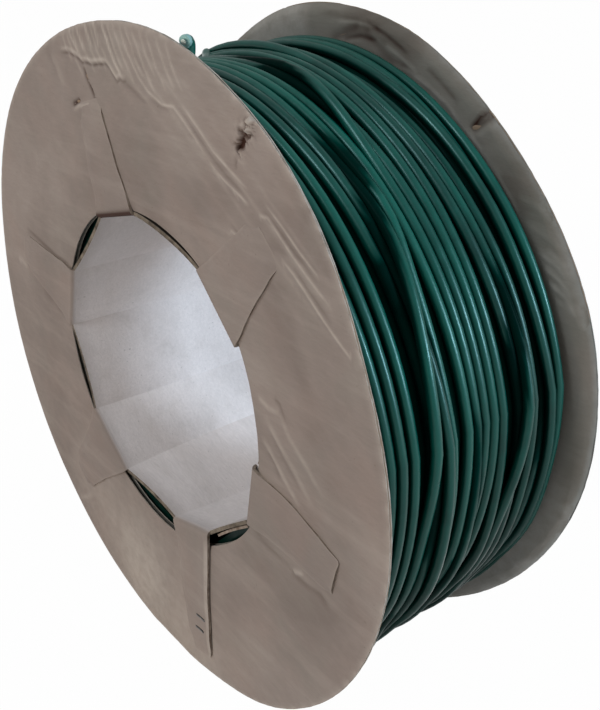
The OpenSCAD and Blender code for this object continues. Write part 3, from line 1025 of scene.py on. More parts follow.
@dataclass
class Flange:
    """One flange of corrugated board: two paper liners with the wavy fluting between them."""

    sizes: SpoolSizes
    side: Side
    palette: Palette
    flute_turn: float
    outline: Outline
    outer_creases: tuple[Crease, ...]
    inner_creases: tuple[Crease, ...] = ()
    tear: tuple[Crease, ...] = ()
    shreds: Crease | None = None
    buckled: tuple[Place, ...] = ()
    outer_crush: float = 0.5 * MM
    inner_crush: float = 1.6 * MM
    crush_width: float = 4 * MM
    spokes: int = 320
    rings: int = 46

    def warp(self, spot: Array) -> Array:
        """How far the board has warped outward at places on it.

        Args:
            spot: Places on the board.

        Returns:
            The offset in metres, never much below zero.
        """
        share = (np.hypot(*spot.T) / self.sizes.flange_r) ** 2
        phase = 0.6 if self.side is Side.NEAR else 2.4
        ripple = 0.07 * MM * np.sin(60 * spot[:, 0] + phase) * np.sin(75 * spot[:, 1])
        return along_ring(self.outline.bend, np.arctan2(*spot.T)) * share + ripple

    def pressed(self, spot: Array) -> tuple[Array, Array]:
        """How far the liners are pressed into the board where it was cut.

        Args:
            spot: Places on the board.

        Returns:
            The depths of the outer and of the inner liner.
        """
        radius = np.hypot(*spot.T)
        rim = ease((radius - self.rim_radius(spot)) / self.crush_width + 1) ** 2
        hole = ease(1 - (radius - self.hole_radius(spot)) / (0.5 * self.crush_width))
        hole = 0.4 * MM * hole
        return self.outer_crush * rim + hole, self.inner_crush * rim + hole

    def rim_radius(self, spot: Array) -> Array:
        """Distance from the axis to the rim, which is flat where it stands on the floor.

        Args:
            spot: Places on the board.

        Returns:
            The distance in the direction of each place.
        """
        radius = np.maximum(np.hypot(*spot.T), 1e-9)
        down = np.maximum(-spot[:, 1] / radius, 1e-6)
        rim = self.sizes.flange_r + along_ring(self.outline.reach, np.arctan2(*spot.T))
        return np.minimum(rim, self.sizes.axis_z / down)

    def hole_radius(self, spot: Array) -> Array:
        """Distance from the axis to the hole's edge in each place's direction."""
        return self.sizes.hole_r + along_ring(self.outline.hole, np.arctan2(*spot.T))

    def flutes(self, spot: Array) -> Array:
        """Phase of the flutes at places on the board, one turn for each flute."""
        across = -spot[:, 0] * math.cos(self.flute_turn) + spot[:, 1] * math.sin(self.flute_turn)
        return TURN * across / self.sizes.flute_pitch

    def relief(self, spot: Array, creases: tuple[Crease, ...]) -> tuple[Array, Array]:
        """Height and tone of a liner's face.

        Args:
            spot: Places on the board.
            creases: The face's creases.

        Returns:
            How far it stands out in metres, and its tone: paler as painted highlight on flute
            crests and ridges, darker as painted shade in furrows.
        """
        strip = np.cos(self.flutes(spot))
        loose = Crease(self.buckled, 0, 11).at(spot, self.sizes.flange_r) if self.buckled else 0
        height = (0.02 + 0.05 * loose) * MM * strip
        # The flute crests are painted paler: a painted highlight of the print-through.
        tone = (0.04 + 0.2 * loose) * np.clip(strip, -0.4, 1) ** 3
        for crease in creases:
            strength = crease.at(spot, self.sizes.flange_r)
            height += crease.height * MM * strength
            tone += crease.tone * strength
        return height, tone

    def ragged(self, angle: Array, seed: int) -> Array:
        """Small unevenness of a cut rim.

        Args:
            angle: Angles round the axis.
            seed: Seed of its waves.

        Returns:
            How far the rim lies inward.
        """
        draw = np.random.default_rng(seed)
        size = np.zeros_like(angle)
        for waves in (7, 13, 29, 61, 113, 171):
            size += draw.uniform(0.3, 1) * np.sin(waves * angle + draw.uniform(0, TURN))
        return (0.16 + 0.05 * size) * MM

    def lay_sheet(self, piece: Piece, seed: int) -> Array:
        """Cut a flat ring sheet to the rim's ragged line, flat where it stands on the floor.

        Args:
            piece: The sheet.
            seed: Seed of its rim's unevenness.

        Returns:
            The places of its vertices on the board, sideways and up from the axis.
        """
        points = Bench.points(piece)
        spot = self.sizes.spots(points)
        radius = np.hypot(*spot.T)
        share = (radius - self.sizes.hole_r) / (self.sizes.flange_r - self.sizes.hole_r)
        rim = self.rim_radius(spot) - self.ragged(np.arctan2(*spot.T), seed)
        hole = self.hole_radius(spot)
        wanted = hole + share * (rim - hole)
        spot *= (wanted / radius)[:, None]
        points[:, 0] = spot[:, 0]
        points[:, 2] = np.maximum(spot[:, 1] + self.sizes.axis_z, 0)
        Bench.move(piece, points)
        return spot

    def liner(
        self, place: str, creases: tuple[Crease, ...], spokes: int, rings: int,
        material: Finish,
    ) -> Piece:
        """Make one paper liner: a flat sheet with thickness, cut finer along its creases.

        Args:
            place: outer or inner.
            creases: Its creases.
            spokes: Faces round it.
            rings: Faces across it.
            material: Its finish.

        Returns:
            The piece.
        """
        sizes = self.sizes
        name = f"{self.side.word}_{place}_liner"
        outward = self.side.value
        looks = outward if place == "outer" else -outward
        depth = 0.0 if place == "outer" else sizes.board_t
        piece = Bench.ring_sheet(name, sizes, spokes, rings)
        Bench.face_along(piece, np.array((0, looks, 0)))
        cut = self.palette.rim if self.side is Side.NEAR else self.palette.shade_rim
        Bench.thicken(piece, sizes.paper_t, material, cut)
        if creases:
            self.refine(piece, [crease.path for crease in creases], 2.2, 2)
        if place == "outer" and self.tear:
            self.refine(piece, [slit.path for slit in (*self.tear, self.shreds)], 3.6, 2)
        back = np.abs(Bench.points(piece)[:, 1])
        spot = self.lay_sheet(piece, 5 if place == "outer" else 9)
        height, tone = self.relief(spot, creases)
        crushed = self.pressed(spot)[place == "inner"]
        if place == "outer" and self.tear:
            torn, worn = self.torn(spot)
            height, tone = height + torn, tone + worn
        turned = height - crushed if place == "outer" else crushed - height
        points = Bench.points(piece)
        face = outward * (sizes.face_y + self.warp(spot) - depth + turned)
        points[:, 1] = face - looks * back
        Bench.move(piece, points)
        away = self.rim_radius(spot) - np.hypot(*spot.T)
        frayed = 0.6 + 0.4 * np.sin(170 * np.arctan2(*spot.T)) * np.sin(
            61 * np.arctan2(*spot.T) + 1)
        worn = 0.9 if self.side is Side.NEAR else -0.15
        # The crease tones paint highlight and shade; the near rim's fray is paler, the far rim a
        # little darker.
        Bench.mark(piece, "wear_and_painted_light", tone + worn * frayed * bell(away, 1.3 * MM))
        Bench.smooth(piece, 60)
        return Bench.finish(piece, "kraft_liner", None, name)

    def refine(
        self, piece: Piece, paths: Sequence[tuple[Place, ...]], width: float,
        cuts: int,
    ) -> None:
        """Cut the visible side of a sheet finer along some lines.

        Args:
            piece: The flat sheet with its thickness.
            paths: The lines, in flange radii.
            width: How far from them, in millimetres.
            cuts: Number of cuts of each edge.
        """
        centres = Bench.centres(piece)
        spot = self.sizes.spots(centres)
        near = np.zeros(len(spot), bool)
        for path in paths:
            near |= Crease(path, 0, width).at(spot, self.sizes.flange_r) > 0.3
        near &= np.abs(centres[:, 1]) < self.sizes.paper_t / 4
        Bench.edit(piece, "polygons", near, lambda: bpy.ops.mesh.subdivide(number_cuts=cuts))

    def torn(self, spot: Array) -> tuple[Array, Array]:
        """Shape of a torn slit: a pit painted dark as shade, with crumpled lips.

        Args:
            spot: Places on the board.

        Returns:
            How far it stands out in metres, and its tone: dark in the pit as painted shade, paler
            on the lips and shreds as torn paper with painted highlights.
        """
        radius = self.sizes.flange_r
        pit = np.max([slit.at(spot, radius) for slit in self.tear], axis=0)
        lips = np.max([Crease(slit.path, 0, 2.6).at(spot, radius) for slit in self.tear], axis=0)
        shreds = ease(self.shreds.at(spot, radius) * 1.6)
        crumbs = np.zeros(len(spot))
        for index in np.flatnonzero(lips + shreds > 0.02):
            x, z = spot[index]
            crumbs[index] = noise.fractal(Vector((x, z, 0.3)) * 560, 0.8, 2.1, 3)
        deep = ease((pit - 0.35) / 0.25)
        ring = np.clip(lips - pit, 0, 1)
        height = ring * (0.2 + 0.7 * crumbs) + shreds * (0.5 + 1.8 * crumbs) - 1.7 * deep
        # The pit is painted dark as shade; the lips and shreds are painted paler, torn paper with
        # painted highlights.
        tone = ring * (0.1 + 1.2 * crumbs) + shreds * (0.15 + 3.2 * crumbs) - 1.6 * deep
        return height * MM, np.clip(tone, -1.2, 1.1)

    def fluting(self) -> Piece:
        """Make the wavy paper between the liners, in two halves of strips along the flutes.

        Returns:
            The piece.
        """
        sizes = self.sizes
        name = f"{self.side.word}_fluting"
        steps, rows = 8, 12
        columns = int(2 * sizes.flange_r / sizes.flute_pitch * steps)
        inset = 0.12 * MM
        way = np.array((math.sin(self.flute_turn), math.cos(self.flute_turn)))
        square = np.array((-way[1], way[0]))
        halves = []
        for half in (-1, 1):
            part = Bench.start(
                f"{name}_half", "grid", x_subdivisions=columns, y_subdivisions=rows, size=2
            )
            points = Bench.points(part)
            across = points[:, 0] * (sizes.flange_r - inset)
            share = (points[:, 1] + 1) / 2
            bore = sizes.hole_r + (3.6 * MM if self.side is Side.NEAR else inset)
            near = np.sqrt(np.maximum(bore**2 - across**2, 0))
            spot = across[:, None] * square
            outside = np.sqrt(np.maximum((sizes.flange_r - inset) ** 2 - across**2, 0))
            along = half * (near + share * (outside - near))
            spot = spot + along[:, None] * way
            spot[:, 1] = np.maximum(spot[:, 1], inset - sizes.axis_z)
            limit = (self.rim_radius(spot) - inset) / np.maximum(np.hypot(*spot.T), 1e-9)
            spot *= np.minimum(limit, 1)[:, None]
            outer, inner = self.pressed(spot)
            room = (sizes.board_t - outer - inner) / 2 - 1.5 * sizes.paper_t
            wave = np.tanh(1.4 * np.cos(self.flutes(spot))) / math.tanh(1.4)
            middle = sizes.face_y + self.warp(spot) - (sizes.board_t + outer - inner) / 2
            y = middle + np.maximum(room, 0) * wave
            for slit in self.tear:
                y -= 1.0 * MM * Crease(slit.path, 0, 2.6).at(spot, sizes.flange_r)
            Bench.move(part, sizes.stand(spot, self.side.value * y))
            Bench.face_along(part, np.array((0, self.side.value, 0)))
            halves.append(part)
        piece = Bench.join(halves, name)
        Bench.edit_all(piece, lambda: bpy.ops.mesh.remove_doubles(threshold=1e-6))
        Bench.modify(piece, "SOLIDIFY", thickness=sizes.paper_t, offset=0)
        Bench.smooth(piece, 60)
        return Bench.finish(piece, "fluting_paper", self.palette.fluting, name)

    def build(self) -> None:
        """Make both liners and the fluting."""
        shaded = self.palette.shade_face
        self.liner("outer", self.outer_creases, self.spokes, self.rings, self.palette.face)
        self.fluting()
        inner_rings = 40 if self.inner_creases else 24
        self.liner("inner", self.inner_creases, 320, inner_rings, shaded)


@dataclass(frozen=True)
class FlapShape:
    """How one flap lies on its flange.

    Attributes:
        length: From the fold to its end, in millimetres.
        lean: Sideways lean of its end, in millimetres; above zero is clockwise.
        edges: How high its free edges stand over the liner, in millimetres: clockwise side,
            counterclockwise side and end. Pressed flush they are near zero.
        fold_shade: How dark its fold is painted, below zero: painted shade under the fold.
        bare: How much paler the strip along its counterclockwise edge is.
        boxy: How much of that edge's height it has at its very fold.
        painted_light: How much paler its whole face is painted: painted light.
    """

    length: float = 44
    lean: float = 0.0
    edges: tuple[float, float, float] = (1.1, 1.1, 1.1)
    fold_shade: float = 0.0
    bare: float = 0.0
    boxy: float = 0.0
    painted_light: float = 0.0


NEAR_FLAPS = (
    FlapShape(41.5, 2.0, (0.62, 0.05, 0.05), -1.4),
    FlapShape(44, 0.0, (0.8, 0.1, 0.1), -0.1),
    FlapShape(45, -1.0, (0.15, 0.5, 0.95)),
    FlapShape(55.5, 12.0, (0.02, 1.45, 0.6), 0.1, 0.5, 1.0, 0.12),
    FlapShape(45, 0.0, (0.05, 0.7, 0.1)),
    FlapShape(44, 0.0, (0.25, 0.15, 0.15), 0.1),
)
FAR_FLAPS = (
    FlapShape(44, 0.5, (1.2, 0.9, 1.0)),
    FlapShape(44, -0.8, (1.4, 0.6, 1.2)),
    FlapShape(44, 0.6, (0.9, 1.1, 1.5)),
    FlapShape(44, 0.0, (1.1, 0.9, 0.9)),
    FlapShape(43.5, 0.9, (1.5, 1.0, 1.1)),
    FlapShape(44, -0.5, (0.8, 1.2, 1.0)),
)


MOUTH = ((2.6, 1.2), (0.9, 1.9), (1.2, 3.3), (0.4, 2.9), (3, -0.7), (0.8, 1.75),
         (-4.7, -4.2), (-4, -6.4), (-2.5, -2.9), (1.1, -1.2), (0.2, 1.6), (0.4, 0.2))


@dataclass
class Core:
    """The folded core sleeve, with the flaps that hold it to both flanges.

    Its dents are millimetres inward for each wide panel, and its mouth is how far each corner
    has moved, in degrees round and millimetres out. A narrow panel has its narrow share of the
    columns of itself and the wide panel next to it.
    """

    sizes: SpoolSizes
    palette: Palette
    flanges: dict[Side, Flange]
    seam: float = 1.0 * MM
    fold_r: float = 0.5 * MM
    end_w: float = 16.5 * MM
    flap_t: float = 1.1 * MM
    dents: tuple[float, ...] = (-2.2, -2.8, 0.0, 1.2, 1.4, 0.6)
    mouth: tuple[Place, ...] = MOUTH
    mouth_depth: float = 60 * MM
    columns: int = 300
    narrow_share: float = 0.4

    def mouth_shift(self, angle: Array) -> Array:
        """How far the near mouth's twelve-sided wall was pushed out of its regular place.

        Args:
            angle: Angles round the axis.

        Returns:
            The shifts, sideways and up.
        """
        sizes = self.sizes
        corner = np.array([
            sizes.flap_angle(number) + side * sizes.narrow_half
            for number in range(1, 7) for side in (-1, 1)])
        turned, out = np.array(self.mouth).T
        moved = corner + np.radians(turned)
        reach = sizes.corner_r + out * MM
        across = reach * np.sin(moved) - sizes.corner_r * np.sin(corner)
        up = reach * np.cos(moved) - sizes.corner_r * np.cos(corner)
        return np.stack(
            [np.interp(angle, corner, part, period=TURN) for part in (across, up)], axis=-1)

    def bore(self, angle: Array) -> Array:
        """Distance from the axis to the hole that the sleeve needs in the winding.

        Args:
            angle: Angles round the axis.

        Returns:
            The distance at each angle.
        """
        way = np.stack([np.sin(angle), np.cos(angle)], -1)
        outward = np.maximum((self.mouth_shift(angle) * way).sum(-1), 0)
        return self.section(angle, -0.4 * MM) + outward

    def panel_dent(self, angle: Array, y: Array) -> Array:
        """How far the sleeve's wide panels have bowed inward, or below zero outward.

        Args:
            angle: Angles round the axis.
            y: Places along the axis.

        Returns:
            The inward offset in metres.
        """
        sizes = self.sizes
        wide_half = math.pi / 6 - sizes.narrow_half
        mouth = np.exp(-(y + sizes.face_y) / (24 * MM)) + 0.4 * np.exp(
            (y - sizes.face_y) / (18 * MM))
        size = np.zeros_like(angle)
        for number, dent in enumerate(self.dents, 1):
            off = angle_from(angle, sizes.flap_angle(number) + math.pi / 6) / wide_half
            inside = np.abs(off) < 1
            arch = np.where(inside, (1 - np.minimum(off**2, 1)) ** 0.8, 0)
            size += (dent * mouth * arch + 0.3 * arch) * MM
        return size

    def section(self, angle: Array, depth: float) -> Array:
        """Distance from the axis to the sleeve's wall, a twelve-sided tube.

        Args:
            angle: Angles round the axis.
            depth: How far inside the sleeve's outer face.

        Returns:
            The distance at each angle.
        """
        sizes = self.sizes
        narrow = sizes.narrow_reach - depth
        wide = sizes.corner_r * math.cos(math.pi / 6 - sizes.narrow_half) - depth
        reach = np.full_like(angle, 1.0)
        for number in range(1, 7):
            for centre, dist in (
                (sizes.flap_angle(number), narrow),
                (sizes.flap_angle(number) + math.pi / 6, wide),
            ):
                off = angle_from(angle, centre)
                there = np.abs(off) < 1.2
                cosine = np.cos(np.where(there, off, 0))
                reach = np.where(there, np.minimum(reach, dist / cosine), reach)
        return reach

    def sleeve(self) -> Piece:
        """Make the sleeve: a ring drawn out along the axis, its panels set and bowed.

        Returns:
            The piece.
        """
        sizes = self.sizes
        length = 2 * sizes.face_y
        rows = round(length / MM)
        pair = self.columns // 6
        piece = Bench.start(
            "core_sleeve_board", "circle", vertices=self.columns, radius=sizes.hole_r,
            fill_type="NOTHING", location=(0, -sizes.face_y, sizes.axis_z),
            rotation=(math.pi / 2, 0, 0),
        )
        Bench.edit_all(piece, lambda: bpy.ops.mesh.extrude_edges_move(
            TRANSFORM_OT_translate={"value": (0, length, 0)}))
        ends = Bench.points(piece)[:, 1][Bench.edges(piece)]
        Bench.edit(
            piece, "edges", np.abs(ends[:, 0] - ends[:, 1]) > 1 * MM,
            lambda: bpy.ops.mesh.subdivide(number_cuts=rows - 1))
        first = sizes.flap_angle(1) - sizes.narrow_half
        centres = Bench.centres(piece)
        turn = (sizes.polar(centres)[0] - first) % TURN
        gone = (turn / TURN * self.columns % pair < self.narrow_share * pair) & (
            np.abs(centres[:, 1]) > sizes.face_y - self.seam)
        Bench.edit(piece, "polygons", gone, lambda: bpy.ops.mesh.delete(type="FACE"))
        points = Bench.points(piece)
        turn = (sizes.polar(points)[0] - first) % TURN
        column = np.round(turn / TURN * self.columns) % self.columns
        part, narrow = column % pair / pair, self.narrow_share
        wide = TURN / 6 - 2 * sizes.narrow_half
        angle = first + column // pair * TURN / 6 + np.where(
            part <= narrow, part / narrow * 2 * sizes.narrow_half,
            2 * sizes.narrow_half + (part - narrow) / (1 - narrow) * wide)
        reach = self.section(angle, sizes.core_t) - self.panel_dent(angle, points[:, 1])
        inward = points[:, 1] + sizes.face_y
        points = sizes.around(reach, angle, points[:, 1])
        pushed = np.clip(1 - inward / self.mouth_depth, 0, 1) ** 2
        points[:, [0, 2]] += self.mouth_shift(angle) * pushed[:, None]
        sunk = bell(angle_from(angle, sizes.flap_angle(2) + math.pi / 6), 0.26)
        points[:, 1] += 2.2 * MM * ease(sunk * 3) * np.clip(1 - inward / (30 * MM), 0, 1)
        Bench.move(piece, points)
        points = Bench.points(piece)
        mouth = np.abs(points[:, 1]) - sizes.face_y
        Bench.mark(piece, "wear_and_painted_light", 0.3 * bell(mouth, 0.8 * MM))
        # Painted light and shade inside the sleeve: darker toward the top left, paler toward the
        # bottom left; the first millimetres at the mouth stay browner.
        tone = 0.8 - 0.2 * hill(angle, 325, 75) + 0.36 * hill(angle, 238, 62)
        Bench.mark(piece, "inside", (0.7 + 0.3 * ease(-mouth / (9 * MM))) * tone)
        inward = -(Bench.centres(piece) - (0, 0, sizes.axis_z)) * (1, 0, 1)
        Bench.face_along(piece, inward)
        # Its outside gets the near-black back: painted shade in the gaps by the hole.
        Bench.thicken(
            piece, sizes.core_t, self.palette.board, self.palette.pale_edge,
            self.palette.painted_shade_back)
        Bench.smooth(piece, 20)
        return Bench.finish(piece, "core_board", None, "core_sleeve")

    def lap(self) -> Piece:
        """Make the sleeve's second ply, which shows in the gap beside one wide panel.

        Returns:
            The piece.
        """
        sizes = self.sizes
        piece = Bench.start("core_lap", "grid", x_subdivisions=24, y_subdivisions=10, size=2)
        points = Bench.points(piece)
        angle = sizes.flap_angle(3) + math.pi / 6 + points[:, 0] * math.radians(13)
        inward = (0.6 + 7 * (points[:, 1] + 1)) * MM
        reach = self.section(angle, -1.5 * MM) - 0.4 * MM * (1 - points[:, 0] ** 2)
        pushed = (1 - inward / self.mouth_depth) ** 2
        spots = sizes.around(reach, angle, inward - sizes.face_y)
        spots[:, [0, 2]] += self.mouth_shift(angle) * pushed[:, None]
        Bench.move(piece, spots)
        Bench.face_along(piece, (Bench.centres(piece) - (0, 0, sizes.axis_z)) * (1, 0, 1))
        Bench.thicken(piece, 1.0 * MM, self.palette.board, self.palette.edge)
        Bench.smooth(piece, 40)
        return Bench.finish(piece, "core_board", None)

    def flap_top(self, shape: FlapShape, share: Array, aside: Array) -> Array:
        """How high a flap's face stands over the liner.

        Args:
            shape: How it lies.
            share: From its fold, 0, to its end, 1.
            aside: From its counterclockwise edge, -1, to its clockwise one, 1.

        Returns:
            The height in metres.
        """
        clockwise, counter, end = (height * MM - self.flap_t for height in shape.edges)
        lying = ease(share * 5)

        def to_edge(place: Array, change: float) -> Array:
            """Bend toward an edge: wide where it lifts, close to it where it is pressed."""
            return change * ease((place - (0.25 if change > 0 else 0.5)) / 0.5)

        buckle = 0.1 * MM * np.sin(18 * share + 9 * shape.length) * np.cos(2.2 * aside)
        root = shape.boxy + (1 - shape.boxy) * lying
        return self.flap_t + root * to_edge(-aside, counter) + lying * (
            to_edge(aside, clockwise) + to_edge(share * 3 - 2, end) + buckle)

    def flap_spot(
        self, side: Side, number: int, shape: FlapShape, share: Array, aside: Array
    ) -> Array:
        """Places of a flap's points on the board, sideways and up from the axis.

        Args:
            side: Which flange it lies on.
            number: Its number, 1 to 6.
            shape: How it lies.
            share: From its fold, 0, to its end, 1.
            aside: From its counterclockwise edge, -1, to its clockwise one, 1.

        Returns:
            The places.
        """
        sizes = self.sizes
        root = sizes.narrow_w / 2 - 0.1 * MM
        half = root + (self.end_w / 2 - root) * np.maximum(share, 0)
        rounding = 1.2 * MM * np.clip((np.abs(aside) - 0.86) / 0.14, 0, 1) ** 2
        radial = share * shape.length * MM - rounding * ease((share - 0.9) / 0.1)
        fray = 0.1 * MM * np.sin(23 * share + 2 * number) * np.clip(share, 0, 1)
        sideways = aside * half + fray + shape.lean * MM * np.maximum(share, 0)
        angle = sizes.flap_angle(number)
        radial = radial + sizes.narrow_reach
        spot = np.stack(
            [radial * math.sin(angle) + sideways * math.cos(angle),
             radial * math.cos(angle) - sideways * math.sin(angle)], axis=-1)
        if side is Side.NEAR:
            root = self.mouth_shift(angle + aside * sizes.narrow_half)
            spot += root * (1 - ease(share / 0.5))[..., None]
        return spot

    def flap(self, side: Side, number: int, shape: FlapShape) -> Piece:
        """Make one flap: a strip that comes out of the sleeve, folds round and lies on the face.

        Args:
            side: Which flange it lies on.
            number: Its number, 1 to 6.
            shape: How it lies.

        Returns:
            The piece.
        """
        sizes, flange = self.sizes, self.flanges[side]
        name = f"{side.word}_flap_{number}"
        piece = Bench.start(
            f"{name}_board", "grid", x_subdivisions=34, y_subdivisions=90, size=2)
        points = Bench.points(piece)
        aside = points[:, 0]
        bend = self.fold_r + self.flap_t
        straight = self.seam + self.flap_t - bend
        arc = bend * math.pi / 2
        start = sizes.narrow_reach - sizes.core_t
        lying = shape.length * MM - (start + bend - sizes.narrow_reach)
        run = (points[:, 1] + 1) / 2 * (straight + arc + lying)
        turn = np.clip((run - straight) / arc, 0, 1) * math.pi / 2
        out = start + bend * (1 - np.cos(turn)) + np.maximum(run - straight - arc, 0)
        share = (out - sizes.narrow_reach) / (shape.length * MM)
        spot = self.flap_spot(side, number, shape, share, aside)
        flat = np.clip(share, 0, 1)
        raised = self.flap_top(shape, 0 * aside, aside) - self.flap_t
        depth = sizes.face_y + self.flap_top(shape, flat, aside) - bend * (
            1 - np.sin(turn)) - np.maximum(straight - run, 0)
        depth -= raised * (1 - np.clip(run / (straight + 0.3 * arc), 0, 1))
        y = depth + flange.warp(spot) * ease((turn - 0.5) / 1.0)
        Bench.move(piece, sizes.stand(spot, side.value * y))
        Bench.mark(piece, "inside", 0.6 * (1 - ease(run / (straight + 0.5 * arc))))
        # The fold is painted darker as shade and the whole face paler as painted light.
        fold = bell(run - straight - 0.6 * arc, 1.5 * MM)
        border = np.minimum(1 - np.abs(aside), (1 - share) * 3)
        strip = ease((-aside - 0.74) / 0.06) * ease(share * 8)
        wear_and_painted_light = 0.2 * bell(border, 0.05) * ease(share * 5) + shape.fold_shade * fold
        Bench.mark(piece, "wear_and_painted_light", wear_and_painted_light + shape.bare * strip + shape.painted_light * ease(share * 4))
        angle = sizes.flap_angle(number)
        Bench.face_along(
            piece, np.array((-math.sin(angle) * 0.2, side.value, -math.cos(angle) * 0.2)))
        Bench.thicken(piece, self.flap_t, self.palette.board, self.palette.edge)
        Bench.smooth(piece, 50)
        return Bench.finish(piece, "flap_board", None, name)

    def build(self) -> None:
        """Make the sleeve and all its flaps."""
        self.sleeve()
        self.lap()
        for side, shapes in ((Side.NEAR, NEAR_FLAPS), (Side.FAR, FAR_FLAPS)):
            for number, shape in enumerate(shapes, 1):
                self.flap(side, number, shape)


@dataclass
class Staples:
    """Two pairs of staples, each through one flap into its flange."""

    sizes: SpoolSizes
    palette: Palette
    core: Core
    crown: float = 9 * MM
    width: float = 1.0 * MM
    thick: float = 0.6 * MM
    flap: int = 4

    def staple(
        self, name: str, side: Side, shape: FlapShape, share: float, aside: float,
        tilt: float, crown: float,
    ) -> Piece:
        """Make one staple: a bar with its ends bent into the board, its edges rounded.

        Args:
            name: Name of the piece.
            side: Which flange it is in.
            shape: How its flap lies.
            share: Its place from the flap's fold, 0, to its end, 1.
            aside: Its place from the flap's counterclockwise edge, -1, to the other, 1.
            tilt: How far it is turned from square to the flap.
            crown: Its length.

        Returns:
            The bare mesh.
        """
        piece = Bench.start(name, "cube", size=1, scale=(crown, self.thick, self.width))
        along = Bench.points(piece)[:, 0][Bench.edges(piece)]
        Bench.edit(
            piece, "edges", np.abs(along[:, 0] - along[:, 1]) > crown / 2,
            lambda: bpy.ops.mesh.subdivide(number_cuts=15))
        Bench.modify(piece, "BEVEL", width=0.16 * MM, segments=2, limit_method="ANGLE")
        points = Bench.points(piece)
        bent = ease((np.abs(points[:, 0]) / (crown / 2) - 0.8) / 0.2)
        across = points[:, 0] * math.cos(tilt) + points[:, 2] * math.sin(tilt)
        outward = points[:, 2] * math.cos(tilt) - points[:, 0] * math.sin(tilt)
        shares = share + outward / (shape.length * MM)
        asides = aside + across / (0.36 * self.sizes.narrow_w)
        spot = self.core.flap_spot(side, self.flap, shape, shares, np.clip(asides, -0.8, 0.8))
        ground = self.sizes.face_y + self.core.flanges[side].warp(spot) + self.core.flap_top(
            shape, shares, asides)
        y = ground + points[:, 1] - 1.4 * MM * bent
        Bench.move(piece, self.sizes.stand(spot, side.value * y))
        Bench.edit_all(piece, lambda: bpy.ops.mesh.normals_make_consistent(inside=False))
        return piece

    def build(self) -> None:
        """Make both pairs."""
        shapes = {Side.NEAR: NEAR_FLAPS[self.flap - 1], Side.FAR: FAR_FLAPS[self.flap - 1]}
        plans = {
            Side.NEAR: ((0.66, -0.38, 0.13, 0.95 * self.crown),
                        (0.78, -0.18, 0.13, 0.95 * self.crown)),
            Side.FAR: ((0.74, 0.0, 0.06, self.crown), (0.9, 0.0, -0.05, self.crown)),
        }
        for side, plan in plans.items():
            pair = [
                self.staple(f"{side.word}_staple_{i}", side, shapes[side], *place)
                for i, place in enumerate(plan)
            ]
            piece = Bench.join(pair, f"{side.word}_staple_pair")
            Bench.smooth(piece, 50)
            Bench.finish(piece, "staple_wire", self.palette.staple, f"{side.word}_staples")


@dataclass(frozen=True)
class Layer:
    """One layer of the winding, laid from one flange to the other.

    Attributes:
        turns: Number of turns in it.
        start: Where it starts, -1 at the near flange and 1 at the far one.
        end: Where it ends.
        wander: How far its turns wander sideways, in millimetres.
    """

    turns: int
    start: float
    end: float
    wander: float


# What a turn's path costs: height, straying from its wish, piling up past a height, missing
# the last turn's end and bending.
CLIMB_COST, STRAY_COST, PILE_COST, PILE_HEIGHT, START_COST, BEND_COST = 1.1, 0.12, 0.8, 0.8, 60, 9


def table_at(value: Array, table: Sequence[Place]) -> Array:
    """Read a table of pairs at some values, straight between its rows."""
    return np.interp(value, *np.array(table, float).T)


